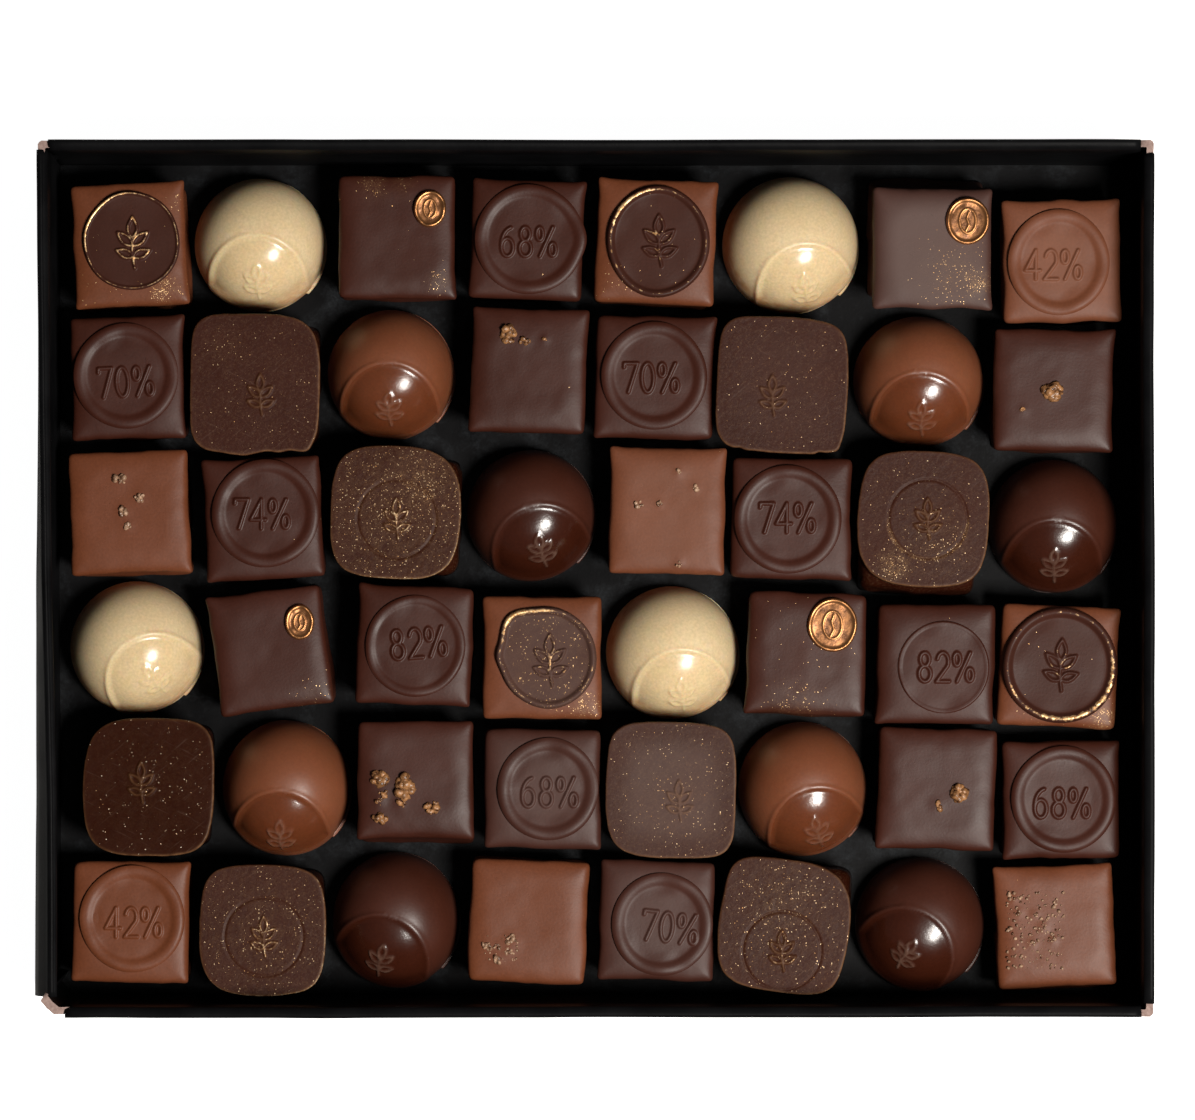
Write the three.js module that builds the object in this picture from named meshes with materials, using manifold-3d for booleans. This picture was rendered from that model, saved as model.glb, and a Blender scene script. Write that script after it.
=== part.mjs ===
// A tray of forty-eight chocolate pralines, six rows of eight, in an open box of folded black card.
// Millimetres, +Z up. The origin is the middle of the tray's underside, +X runs along its long side.
import * as THREE from "three";
import { mergeVertices } from "three/addons/utils/BufferGeometryUtils.js";
import Module from "manifold-3d";

const wasm = await Module();
wasm.setup();

// The tray
const TRAY = { wide: 226.2, deep: 177.8, high: 30 };
const FLOOR_THICK = 1.4;
const WALL_THICK = 1.4;
const WALL_IN = 0.15; // the fold stands this far proud of the wall's outer face
const FOLD_THICK = 1.9; // the rolled edge of the card along the top of a wall
const FOLD_DEEP = 6;
const FOLD_TAPER = 0.3; // how much the fold narrows towards its lower edge, on each side
const FOLD_STEPS = 6;
const CORNER_BARE = 2.4; // each fold stops this far short of the corner
const CORNER_DROP = 0.8;
const LEAN = { back: 1.7, front: 1.2, left: 0.2, right: 0.4 }; // how far a wall's foot stands in from its rim

// The pralines, which stand on the tray's floor
const FLOOR_GAP = 0.1;
const SINK = 0.3; // how deep what is fused to a top is set into it
const SAME_POINT = 4e-3; // vertices nearer to each other than this are one
const NO_LENGTH = 1e-9;

// An enrobed square: an uneven foot, near upright sides, soft upper edges and a flat top.
// A section lists [share of the half width, height] from the middle of the foot to the middle of the top.
const SQUARE_HIGH = 14.6;
const SQUARE_STEPS = 16;
const SQUARE_POWER = 9; // of the superellipse that rounds the corners
const SQUARE_SECTION = [
  [0, 0],
  [1, 0],
  [0.972, 1.7],
  [0.968, SQUARE_HIGH - 1.9],
  [0.935, SQUARE_HIGH - 0.5],
  [0.85, SQUARE_HIGH],
  [0, SQUARE_HIGH],
];

// A square body under a wider moulded plate with bulging sides
const PLATE_BODY_HIGH = 12.4;
const PLATE_HIGH = 16.6;
const PLATE_STEPS = 18;
const PLATE_POWER = 3.6;
const PLATE_BODY_SHARE = [0.91, 0.88]; // the body's width and depth as shares of the plate's
const PLATE_BODY_SECTION = [
  [0, 0],
  [1, 0],
  [0.97, 1.7],
  [0.96, PLATE_BODY_HIGH + 0.6],
  [0, PLATE_BODY_HIGH + 0.6],
];
const PLATE_SECTION = [
  [0, PLATE_BODY_HIGH],
  [0.94, PLATE_BODY_HIGH],
  [1, PLATE_BODY_HIGH + 1.2],
  [0.985, PLATE_HIGH - 0.7],
  [0.94, PLATE_HIGH],
  [0, PLATE_HIGH],
];

// A dome on a thin foot, with a flatter face on one side that is part of a ball.
// The ball is given in the section through its middle, and `edge` is where the face starts there.
const DOME_HIGH = 17;
const DOME_STEPS = 18;
const DOME_POWER = 2.3;
const DOME_FOOT = 0.7; // the height of the foot's edge
const DOME_LOWEST = 0.9; // the face never cuts below this
const DOME_WIDEST = 0.97; // the dome's own radius as a share of its foot's
const DOME_SHARES = [0.955, 0.86, 0.68, 0.38, 0];
const FACE_BALL = { radius: 22.2, back: 6.6, below: 4.83, edge: -2.1 };

// A pressed round of chocolate with a rolled rim about a lower field. Insets are measured from its edge.
const DISC_STEPS = 18;
const DISC_INSET = { foot: 0.25, crest: 0.9, field: 1.9 };
const DISC_WIDEST = 0.45; // the height of the widest place as a share of the rim's height
const SEAL = { rim: 1.5, field: 0.75, steps: DISC_STEPS };
const STAMP = { rim: 1.1, field: 0.65, steps: DISC_STEPS };
const GILT_SEAL = { rim: 1.1, field: 0.8, steps: 12 };
const SEAL_GAP = 0.12; // between a square's top and the seal that lies on it

// Crumbs that lie on a square
const SMALL_CRUMB = 1.75; // a crumb narrower than this has only eight faces
const CRUMB_FLAT = 0.8; // its height as a share of its least width
const CRUMB_RISE = 0.12; // how far its middle lies above the top, as a share of its least width

const COLOURS = {
  card: 0x16161a,
  milk: 0x74482f,
  dark: 0x432a24,
  white: 0xcdbd94,
  gilt: 0xc49550,
};

const tray = new THREE.Group();

function finish(colour) {
  const metal = colour === "gilt";
  return new THREE.MeshStandardMaterial({
    color: COLOURS[colour],
    roughness: metal ? 0.35 : 0.5,
    metalness: metal ? 0.9 : 0,
  });
}

// The geometry with shared vertices, no empty triangles and its faces pointing out.
function closed(geometry) {
  const bare = new THREE.BufferGeometry();
  bare.setAttribute("position", geometry.getAttribute("position"));
  if (geometry.index) bare.setIndex(geometry.index);
  const merged = mergeVertices(bare, SAME_POINT);
  const corners = merged.index.array;
  const points = merged.getAttribute("position");
  const kept = [];
  const a = new THREE.Vector3();
  const b = new THREE.Vector3();
  const c = new THREE.Vector3();
  let volume = 0;
  for (let i = 0; i < corners.length; i += 3) {
    const [p, q, r] = [corners[i], corners[i + 1], corners[i + 2]];
    if (p === q || q === r || r === p) continue;
    kept.push(p, q, r);
    a.fromBufferAttribute(points, p);
    b.fromBufferAttribute(points, q);
    c.fromBufferAttribute(points, r);
    volume += a.dot(b.cross(c));
  }
  merged.setIndex(volume < 0 ? kept.reverse() : kept);
  return merged;
}

function solid(geometry) {
  const body = closed(geometry);
  const vertProperties = body.getAttribute("position").array;
  const triVerts = new Uint32Array(body.index.array);
  return new wasm.Manifold(new wasm.Mesh({ numProp: 3, vertProperties, triVerts }));
}

function surface(body) {
  const mesh = body.getMesh();
  const geometry = new THREE.BufferGeometry();
  geometry.setAttribute("position", new THREE.BufferAttribute(mesh.vertProperties, 3));
  geometry.setIndex(new THREE.BufferAttribute(mesh.triVerts, 1));
  return geometry;
}

// One geometry from several that run into each other.
function fused(geometries) {
  return surface(geometries.map(solid).reduce((sum, next) => sum.add(next)));
}

// What two geometries have in common.
function common(one, other) {
  return surface(solid(one).intersect(solid(other)));
}

function piece(name, geometry, colour) {
  const mesh = new THREE.Mesh(closed(geometry), finish(colour));
  mesh.name = name;
  tray.add(mesh);
}

// Where a praline's top is: its middle, width and depth, and its turn in degrees.
// `lean` is how far the middle of its foot lies from the middle of its top.
function top(x, y, wide, deep, turn = 0, lean = [0, 0]) {
  return { at: [x, y], size: [wide, deep], turn, lean };
}

// Where a round is: its middle, width and depth.
function round(x, y, wide, deep) {
  return { at: [x, y], size: [wide, deep] };
}

// A point of a unit superellipse: power 2 is a circle, and a high power a square with round corners.
function rounded(angle, power) {
  const bent = (v) => (Math.abs(v) < NO_LENGTH ? 0 : Math.sign(v) * Math.abs(v) ** (2 / power));
  return [bent(Math.cos(angle)), bent(Math.sin(angle))];
}

// A body of revolution from a section, squared by `power` and placed by `form`.
function moulded(section, steps, power, form) {
  const points = section.map(([share, height]) => new THREE.Vector2(share, height));
  const body = new THREE.LatheGeometry(points, steps);
  const places = body.getAttribute("position");
  for (let i = 0; i < places.count; i += 1) {
    const share = Math.hypot(places.getX(i), places.getZ(i));
    const angle = Math.atan2(places.getZ(i), places.getX(i));
    const [x, y] = rounded(share < NO_LENGTH ? 0 : angle, power);
    places.setXYZ(i, ...form(share * x, share * y, places.getY(i)));
  }
  return body;
}

// Stretches a unit form to this width and depth.
function sized([wide, deep]) {
  return (x, y, z) => [(x * wide) / 2, (y * deep) / 2, z];
}

// Turns a praline by its angle, leans it and stands it at its place on the floor.
function stand(geometry, { at, turn, lean }, high) {
  const angle = THREE.MathUtils.degToRad(turn);
  const body = closed(geometry);
  const places = body.getAttribute("position");
  for (let i = 0; i < places.count; i += 1) {
    const [x, y, z] = [places.getX(i), places.getY(i), places.getZ(i)];
    const low = 1 - Math.min(z / high, 1);
    const px = at[0] + x * Math.cos(angle) - y * Math.sin(angle) + lean[0] * low;
    const py = at[1] + x * Math.sin(angle) + y * Math.cos(angle) + lean[1] * low;
    places.setXYZ(i, px, py, z + FLOOR_THICK + FLOOR_GAP);
  }
  return body;
}

function squareBody(place) {
  return stand(moulded(SQUARE_SECTION, SQUARE_STEPS, SQUARE_POWER, sized(place.size)), place, SQUARE_HIGH);
}

// A pressed round that stands `above` the squares' tops.
function pressedDisc({ at, size }, { rim, field, steps }, above) {
  const radius = (size[0] + size[1]) / 4;
  const share = (inset) => 1 - inset / radius;
  const section = [
    [0, 0],
    [share(DISC_INSET.foot), 0],
    [1, rim * DISC_WIDEST],
    [share(DISC_INSET.crest), rim],
    [share(DISC_INSET.field), field],
    [0, field],
  ];
  const onTop = FLOOR_THICK + FLOOR_GAP + SQUARE_HIGH;
  return moulded(section, steps, 2, sized(size)).translate(...at, onTop + above);
}

// A milk square with a dark seal on it, a separate piece.
function sealed(name, place, disc) {
  piece(name + "_milk_square", squareBody(place), "milk");
  piece(name + "_dark_seal", pressedDisc(disc, SEAL, SEAL_GAP), "dark");
}

// A dark square with a small gilded seal near one corner, a separate piece.
function gilded(name, place, disc) {
  piece(name + "_dark_square", squareBody(place), "dark");
  piece(name + "_gilt_seal", pressedDisc(disc, GILT_SEAL, SEAL_GAP), "gilt");
}

// A square with a pressed round of the same chocolate, one piece with it.
function numbered(name, colour, place, disc) {
  const body = fused([squareBody(place), pressedDisc(disc, STAMP, -SINK)]);
  piece(name + "_" + colour + "_numbered", body, colour);
}

// A square with crumbs fused to its top: each crumb is [x, y, wide, deep].
function sprinkled(name, colour, kind, place, crumbs) {
  const parts = [squareBody(place)];
  crumbs.forEach(([x, y, wide, deep], n) => {
    const least = Math.min(wide, deep);
    const crumb = least < SMALL_CRUMB ? new THREE.OctahedronGeometry(0.5) : new THREE.IcosahedronGeometry(0.5);
    crumb.rotateZ(n).scale(wide, deep, least * CRUMB_FLAT);
    parts.push(crumb.translate(x, y, FLOOR_THICK + FLOOR_GAP + SQUARE_HIGH + least * CRUMB_RISE));
  });
  piece(name + "_" + colour + "_" + kind, fused(parts), colour);
}

function plated(name, place) {
  const size = [place.size[0] * PLATE_BODY_SHARE[0], place.size[1] * PLATE_BODY_SHARE[1]];
  const body = moulded(PLATE_BODY_SECTION, SQUARE_STEPS, SQUARE_POWER, sized(size));
  const plate = moulded(PLATE_SECTION, PLATE_STEPS, PLATE_POWER, sized(place.size));
  const parts = [stand(body, place, PLATE_HIGH), stand(plate, place, PLATE_HIGH)];
  piece(name + "_dark_plate", fused(parts), "dark");
}

// A dome whose flatter face is on the side that `towards` points at, in degrees.
// `edge` is where that face starts, measured from the middle of the dome.
function domed(name, colour, place, towards, edge) {
  const section = [
    [0, 0],
    [1, 0],
    [1, DOME_FOOT],
  ];
  for (const share of DOME_SHARES) {
    section.push([share, DOME_HIGH * (1 - (share / DOME_WIDEST) ** DOME_POWER) ** (1 / DOME_POWER)]);
  }
  const angle = THREE.MathUtils.degToRad(towards);
  const back = FACE_BALL.back - (edge - FACE_BALL.edge);
  const middle = [-back * Math.cos(angle), -back * Math.sin(angle)];
  const form = (sx, sy, z) => {
    const [x, y] = sized(place.size)(sx, sy);
    const square = FACE_BALL.radius ** 2 - (x - middle[0]) ** 2 - (y - middle[1]) ** 2;
    const face = Math.sqrt(Math.max(square, 0)) - FACE_BALL.below;
    return [x, y, z > DOME_FOOT ? Math.max(DOME_LOWEST, Math.min(z, face)) : z];
  };
  const dome = moulded(section, DOME_STEPS, 2, form);
  piece(name + "_" + colour + "_dome", stand(dome, place, DOME_HIGH), colour);
}

// One wall of the tray along +Y at x = 0, its outer face to -X, with its foot `lean` nearer the middle:
// the upright board, and the rolled fold along its top.
function wall(length, lean) {
  const board = new THREE.Shape();
  board.moveTo(lean, 0);
  board.lineTo(lean + WALL_IN + WALL_THICK, 0);
  board.lineTo(WALL_IN + WALL_THICK, TRAY.high - CORNER_DROP);
  board.lineTo(0, TRAY.high - CORNER_DROP);
  const radius = FOLD_THICK / 2;
  const roll = new THREE.Shape();
  roll.moveTo(FOLD_THICK - FOLD_TAPER, TRAY.high - FOLD_DEEP);
  roll.absarc(radius, TRAY.high - radius, radius, 0, Math.PI);
  roll.lineTo(FOLD_TAPER, TRAY.high - FOLD_DEEP);
  const sheet = (shape, long) => {
    const steps = { depth: long, bevelEnabled: false, curveSegments: FOLD_STEPS };
    return new THREE.ExtrudeGeometry(shape, steps).translate(0, 0, -long / 2).rotateX(Math.PI / 2);
  };
  return { board: sheet(board, length), roll: sheet(roll, length - 2 * CORNER_BARE) };
}

// The whole space inside the tray's outer faces, which lean inwards towards the floor.
function envelope() {
  const inner = 2 * WALL_IN;
  const box = new THREE.BoxGeometry(TRAY.wide - inner, TRAY.deep - inner, TRAY.high);
  box.translate(0, 0, TRAY.high / 2);
  const places = box.getAttribute("position");
  for (let i = 0; i < places.count; i += 1) {
    if (places.getZ(i) > 0) continue;
    const [x, y] = [places.getX(i), places.getY(i)];
    places.setX(i, x > 0 ? x - LEAN.right : x + LEAN.left);
    places.setY(i, y > 0 ? y - LEAN.back : y + LEAN.front);
  }
  return box;
}

function cardTray() {
  const sides = [
    { length: TRAY.deep, lean: LEAN.left, turn: 0, at: [-TRAY.wide / 2, 0] },
    { length: TRAY.deep, lean: LEAN.right, turn: Math.PI, at: [TRAY.wide / 2, 0] },
    { length: TRAY.wide, lean: LEAN.back, turn: -Math.PI / 2, at: [0, TRAY.deep / 2] },
    { length: TRAY.wide, lean: LEAN.front, turn: Math.PI / 2, at: [0, -TRAY.deep / 2] },
  ];
  const floor = new THREE.BoxGeometry(TRAY.wide, TRAY.deep, FLOOR_THICK).translate(0, 0, FLOOR_THICK / 2);
  const boards = [floor];
  const rolls = [];
  sides.forEach(({ length, lean, turn, at }) => {
    const { board, roll } = wall(length, lean);
    boards.push(board.rotateZ(turn).translate(...at, 0));
    rolls.push(roll.rotateZ(turn).translate(...at, 0));
  });
  const folded = common(fused(boards), envelope());
  piece("card_tray", fused([folded, ...rolls]), "card");
}

cardTray();

// Row 1, from the left
sealed("r1c1", top(-95.2, 68.3, 23.4, 25.4, 3, [0, -0.6]), round(-94.7, 68.9, 19.6, 20.4));
domed("r1c2", "white", top(-69.2, 68.8, 27.4, 27.8), -90, -1.3);
gilded("r1c3", top(-40.6, 69.8, 24.3, 25.4), round(-33.8, 75.5, 6.7, 7.6));
numbered("r1c4", "dark", top(-14.0, 69.3, 23.3, 24.6, -2.5), round(-13.5, 69.3, 22.3, 22.5));
sealed("r1c5", top(12.4, 68.9, 24.6, 25.6, -2.5, [0, -0.4]), round(12.8, 68.8, 20.8, 23.0));
domed("r1c6", "white", top(40.2, 68.7, 28.4, 28.6), -74, 0.8);
gilded("r1c7", top(69.0, 67.1, 24.4, 24.9, -0.5, [-1.0, 3.2]), round(76.0, 73.0, 9.0, 9.6));
numbered("r1c8", "milk", top(95.3, 64.9, 24.3, 25.3, 1), round(94.6, 64.6, 20.8, 21.7));

// Row 2
numbered("r2c1", "dark", top(-95.6, 41.0, 23.4, 25.2, 1.5), round(-95.9, 41.4, 21.4, 21.6));
plated("r2c2", top(-69.5, 39.8, 26.6, 28.5, -1));
domed("r2c3", "milk", top(-42.2, 42.0, 26.4, 27.2), -90, -2.1);
sprinkled("r2c4", "dark", "crunch", top(-13.6, 42.5, 23.9, 25.6, -2), [
  [-17.9, 49.8, 3.0, 3.8],
  [-14.4, 48.4, 2.2, 1.8],
  [-10.3, 49.0, 1.2, 1.3],
]);
numbered("r2c5", "dark", top(12.2, 41.1, 24.5, 25.2, -1.5), round(12.0, 41.4, 21.7, 22.0));
plated("r2c6", top(38.4, 39.5, 26.6, 27.8, -3));
domed("r2c7", "milk", top(66.6, 40.6, 27.2, 27.3), -90, -1.5);
sprinkled("r2c8", "dark", "crunch", top(93.7, 38.4, 24.6, 25.2, -1), [
  [93.3, 38.3, 4.1, 3.6],
  [87.4, 34.4, 1.5, 1.4],
]);

// Row 3
sprinkled("r3c1", "milk", "salt", top(-95.3, 13.6, 24.6, 25.2, 2, [0, -0.7]), [
  [-97.2, 20.3, 2.9, 2.2],
  [-93.1, 16.5, 2.1, 1.9],
  [-96.4, 13.6, 2.2, 2.0],
  [-95.4, 10.7, 1.7, 1.6],
]);
numbered("r3c2", "dark", top(-67.9, 12.3, 24.2, 25.0, 3), round(-67.4, 13.3, 21.9, 22.2));
plated("r3c3", top(-40.8, 13.5, 26.6, 27.2, -2));
domed("r3c4", "dark", top(-13.3, 13.0, 26.9, 27.4), -73, -1.8);
sprinkled("r3c5", "milk", "salt", top(14.7, 13.8, 23.9, 26.2, -1), [
  [8.9, 15.2, 2.4, 1.7],
  [16.9, 21.6, 1.3, 1.2],
  [20.5, 18.5, 1.5, 1.6],
  [13.2, 15.2, 1.3, 1.2],
  [17.1, 3.0, 1.9, 1.1],
]);
numbered("r3c6", "dark", top(40.0, 12.3, 24.8, 25.0, -1), round(39.3, 12.1, 22.0, 22.2));
plated("r3c7", top(66.9, 12.2, 26.8, 27.8, -3, [-0.4, -0.8]));
domed("r3c8", "dark", top(94.4, 10.8, 26.9, 27.8), -95, -1.2);

// Row 4
domed("r4c1", "white", top(-94.6, -14.2, 27.8, 27.6), -56, -1.5);
gilded("r4c2", top(-66.4, -14.7, 23.6, 24.8, 7.5), round(-60.4, -8.9, 6.1, 7.2));
numbered("r4c3", "dark", top(-36.9, -13.7, 23.7, 24.6, -2.5), round(-36.8, -13.8, 20.4, 20.8));
sealed("r4c4", top(-10.9, -16.2, 24.4, 25.2), round(-9.7, -16.2, 19.8, 20.8));
domed("r4c5", "white", top(15.8, -15.3, 27.6, 27.7), -78, -0.6);
gilded("r4c6", top(43.1, -15.2, 24.6, 25.2, -2, [0, -0.8]), round(48.4, -9.5, 10.2, 11.0));
numbered("r4c7", "dark", top(69.5, -17.5, 24.3, 24.7, -1), round(71.1, -18.1, 18.7, 18.9));
sealed("r4c8", top(94.7, -18.0, 24.3, 25.0, -3), round(94.9, -17.8, 23.4, 23.7));

// Row 5
plated("r5c1", top(-91.4, -42.6, 26.7, 28.2, -1));
domed("r5c2", "milk", top(-63.7, -43.2, 26.8, 28.2), -95, 0.2);
sprinkled("r5c3", "dark", "crunch", top(-36.8, -41.0, 23.9, 24.4, 0, [0, -1.6]), [
  [-44.0, -41.1, 3.4, 3.2],
  [-43.6, -43.9, 2.2, 1.7],
  [-44.1, -45.6, 1.5, 1.9],
  [-44.0, -49.0, 2.8, 2.4],
  [-38.9, -42.5, 3.6, 5.0],
  [-39.6, -45.9, 1.7, 1.7],
  [-33.3, -46.7, 3.1, 2.7],
]);
numbered("r5c4", "dark", top(-10.8, -43.0, 24.0, 24.6, -0.5), round(-9.7, -43.0, 20.8, 21.0));
plated("r5c5", top(15.7, -43.2, 26.6, 27.4, -1));
domed("r5c6", "milk", top(42.7, -43.4, 26.8, 28.0), -72, -0.4);
sprinkled("r5c7", "dark", "crunch", top(69.8, -43.0, 24.3, 25.0, -2), [
  [74.1, -43.8, 3.5, 3.6],
  [70.0, -46.5, 1.7, 2.3],
]);
numbered("r5c8", "dark", top(95.2, -45.3, 24.1, 24.2, 0.5), round(95.6, -45.1, 21.5, 21.8));

// Row 6
numbered("r6c1", "milk", top(-95.1, -70.2, 24.3, 25.0, -1), round(-94.6, -69.5, 21.5, 21.8));
plated("r6c2", top(-67.9, -71.7, 25.9, 26.8, -1));
domed("r6c3", "dark", top(-41.1, -70.4, 26.6, 28.2), -111, -1.2);
sprinkled("r6c4", "milk", "salt", top(-13.7, -70.2, 24.3, 25.4, -2.5), [
  [-22.2, -74.9, 1.9, 1.4],
  [-19.9, -77.6, 1.3, 1.6],
  [-17.1, -73.9, 2.2, 1.8],
  [-17.9, -76.2, 1.5, 1.3],
]);
numbered("r6c5", "dark", top(12.6, -69.9, 23.7, 24.7, -1.5), round(13.6, -70.6, 20.8, 21.1));
plated("r6c6", top(38.8, -70.9, 26.2, 27.2, -8));
domed("r6c7", "dark", top(66.9, -71.3, 26.8, 27.8), -124, -3.0);
sprinkled("r6c8", "milk", "salt", top(93.9, -70.9, 24.3, 25.0, 2.5, [0.3, -1.4]), [
  [86.6, -68.2, 1.3, 1.2],
  [89.7, -68.6, 1.4, 1.2],
  [91.5, -71.2, 1.6, 1.5],
  [89.2, -74.6, 1.8, 1.3],
  [93.6, -73.8, 1.2, 1.4],
  [85.5, -65.4, 1.2, 1.1],
]);

export default tray;
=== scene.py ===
"""Looks of a tray of forty-eight chocolate pralines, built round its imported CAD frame.

Lengths are millimetres in the row frame unless a name says metres, and angles are degrees.
"""

import logging
import math
from dataclasses import dataclass, field
from enum import Enum
from itertools import product

import bmesh
import bpy
import numpy as np
from mathutils import Matrix, Vector

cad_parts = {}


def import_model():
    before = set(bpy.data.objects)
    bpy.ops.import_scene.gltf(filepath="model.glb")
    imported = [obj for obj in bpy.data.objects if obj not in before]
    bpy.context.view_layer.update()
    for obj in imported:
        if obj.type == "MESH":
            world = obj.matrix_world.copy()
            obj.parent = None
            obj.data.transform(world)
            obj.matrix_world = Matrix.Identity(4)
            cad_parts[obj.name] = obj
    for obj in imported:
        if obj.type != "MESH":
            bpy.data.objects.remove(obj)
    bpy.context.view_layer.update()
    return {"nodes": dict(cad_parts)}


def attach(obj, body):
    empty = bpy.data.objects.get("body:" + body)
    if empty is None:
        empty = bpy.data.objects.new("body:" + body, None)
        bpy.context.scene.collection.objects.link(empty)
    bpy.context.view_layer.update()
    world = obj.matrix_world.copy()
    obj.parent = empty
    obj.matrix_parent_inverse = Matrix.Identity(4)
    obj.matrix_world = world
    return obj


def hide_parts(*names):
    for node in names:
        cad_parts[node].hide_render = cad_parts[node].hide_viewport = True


log = logging.getLogger("pralines")

MM = 0.001
FOOT = 1.5  # the pralines stand on the tray's floor at this height
SQUARE_HIGH = 14.6
PLATE_HIGH = 16.6
DOME_HIGH = 17.0
SQUARE_POWER = 20.0
PLATE_POWER = 2.8
LINEAR_POWER = 5.0  # outlines of a higher power keep the grid's own spacing


class Kind(Enum):
    """What a piece is made of, by the name of its slot."""

    MILK = "milk_chocolate"
    DARK = "dark_chocolate"
    WHITE = "white_chocolate"
    GILT = "gilt"

    @property
    def word(self) -> str:
        """The first word of the slot, which its nodes and finishes are named by."""
        return self.value.split("_")[0]


# Shapes worked out on arrays of points


def unit(values: np.ndarray) -> np.ndarray:
    """Scales each row to length one."""
    return values / np.maximum(np.linalg.norm(values, axis=1, keepdims=True), 1e-12)


def step(low: float, high: float, values: np.ndarray) -> np.ndarray:
    """Goes smoothly from 0 at low to 1 at high."""
    share = np.clip((values - low) / (high - low), 0.0, 1.0)
    return share * share * (3.0 - 2.0 * share)


def bell(values: np.ndarray, width: float) -> np.ndarray:
    """A soft peak of height one about nought."""
    return np.exp(-((values / width) ** 2))


def turned(x: np.ndarray, y: np.ndarray, angle: float) -> tuple[np.ndarray, np.ndarray]:
    """Turns points in the plane.

    Args:
        x: Places along x.
        y: Places along y.
        angle: How far they turn, anticlockwise.

    Returns:
        The turned places along x and along y.
    """
    cos, sin = math.cos(math.radians(angle)), math.sin(math.radians(angle))
    return x * cos - y * sin, x * sin + y * cos


def apart(angle: np.ndarray, at: float) -> np.ndarray:
    """How far angles in radians lie from one in degrees, from -180 to 180 degrees."""
    return (np.degrees(angle) - at + 180.0) % 360.0 - 180.0


def circle(angle: np.ndarray) -> np.ndarray:
    """Gives points on a circle of radius one, along which the grain runs on without a seam."""
    return np.stack([np.cos(angle), np.sin(angle), angle * 0.0], axis=1)


def through(knots: tuple[tuple[float, ...], ...], share: np.ndarray) -> np.ndarray:
    """Reads a smooth curve through knots.

    Args:
        knots: Rows of the share at a knot, then its values.
        share: Where the curve is read.

    Returns:
        One row of values for each share.
    """
    table = np.array(knots, float)
    at, values = table[:, 0], table[:, 1:]
    slopes = np.gradient(values, at, axis=0)
    i = np.clip(np.searchsorted(at, share, "right") - 1, 0, len(at) - 2)
    gap = (at[i + 1] - at[i])[:, None]
    t = (share[:, None] - at[i][:, None]) / gap
    start = (2 * t**3 - 3 * t**2 + 1) * values[i] + (t**3 - 2 * t**2 + t) * slopes[i] * gap
    end = (3 * t**2 - 2 * t**3) * values[i + 1] + (t**3 - t**2) * slopes[i + 1] * gap
    return start + end


class Grain:
    """Smooth seeded unevenness in space."""

    SIDE = 24

    def __init__(self, seed: int) -> None:
        """Draws the table that the unevenness is read from.

        Args:
            seed: The seed of the draw.
        """
        self.table = np.random.default_rng(seed).uniform(-1.0, 1.0, (self.SIDE,) * 3)

    def at(self, points: np.ndarray, size: float) -> np.ndarray:
        """Reads the unevenness.

        Args:
            points: Where it is read.
            size: How far apart its humps are.

        Returns:
            Values from about -1 to 1.
        """
        cell = points / size
        low = np.floor(cell).astype(int)
        part = cell - low
        part = part * part * (3.0 - 2.0 * part)
        total = np.zeros(len(points))
        for corner in product((0, 1), repeat=3):
            weight = np.prod(np.where(np.array(corner) == 1, part, 1.0 - part), axis=1)
            index = (low + corner) % self.SIDE
            total += weight * self.table[index[:, 0], index[:, 1], index[:, 2]]
        return total


class Strokes:
    """Lines drawn in the plane, read as the distance to the nearest one."""

    def __init__(self, lines: list[np.ndarray]) -> None:
        """Cuts the lines into straight pieces.

        Args:
            lines: Each a row of points.
        """
        self.starts = np.concatenate([row[:-1] for row in lines])
        self.ends = np.concatenate([row[1:] for row in lines])

    def distance(self, x: np.ndarray, y: np.ndarray) -> np.ndarray:
        """Measures how far each point is from the nearest line."""
        found = np.full(len(x), 1e9)
        for (ax, ay), (bx, by) in zip(self.starts, self.ends):
            dx, dy = bx - ax, by - ay
            along = ((x - ax) * dx + (y - ay) * dy) / max(dx * dx + dy * dy, 1e-12)
            along = np.clip(along, 0.0, 1.0)
            found = np.minimum(found, np.hypot(x - ax - along * dx, y - ay - along * dy))
        return found

    def raised(self, x: np.ndarray, y: np.ndarray, near: float, far: float) -> np.ndarray:
        """Works out how much the lines raise each point.

        Args:
            x: The points' places along x.
            y: The points' places along y.
            near: How far from a line a point is still fully raised.
            far: How far from a line a point isn't raised any more.

        Returns:
            Values from 0 to 1.
        """
        return 1.0 - step(near, far, self.distance(x, y))


def arc(
    x: float, y: float, wide: float, high: float, start: float, end: float, steps: int = 18
) -> np.ndarray:
    """Draws part of an ellipse.

    Args:
        x: Its middle along x.
        y: Its middle along y.
        wide: Its half width.
        high: Its half height.
        start: The angle it starts at.
        end: The angle it ends at.
        steps: How many straight pieces it has.

    Returns:
        Its points.
    """
    angles = np.radians(np.linspace(start, end, steps + 1))
    return np.stack([x + wide * np.cos(angles), y + high * np.sin(angles)], axis=1)


def line(*points: tuple[float, float]) -> np.ndarray:
    """Draws straight pieces from point to point."""
    return np.array(points, float)


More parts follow.
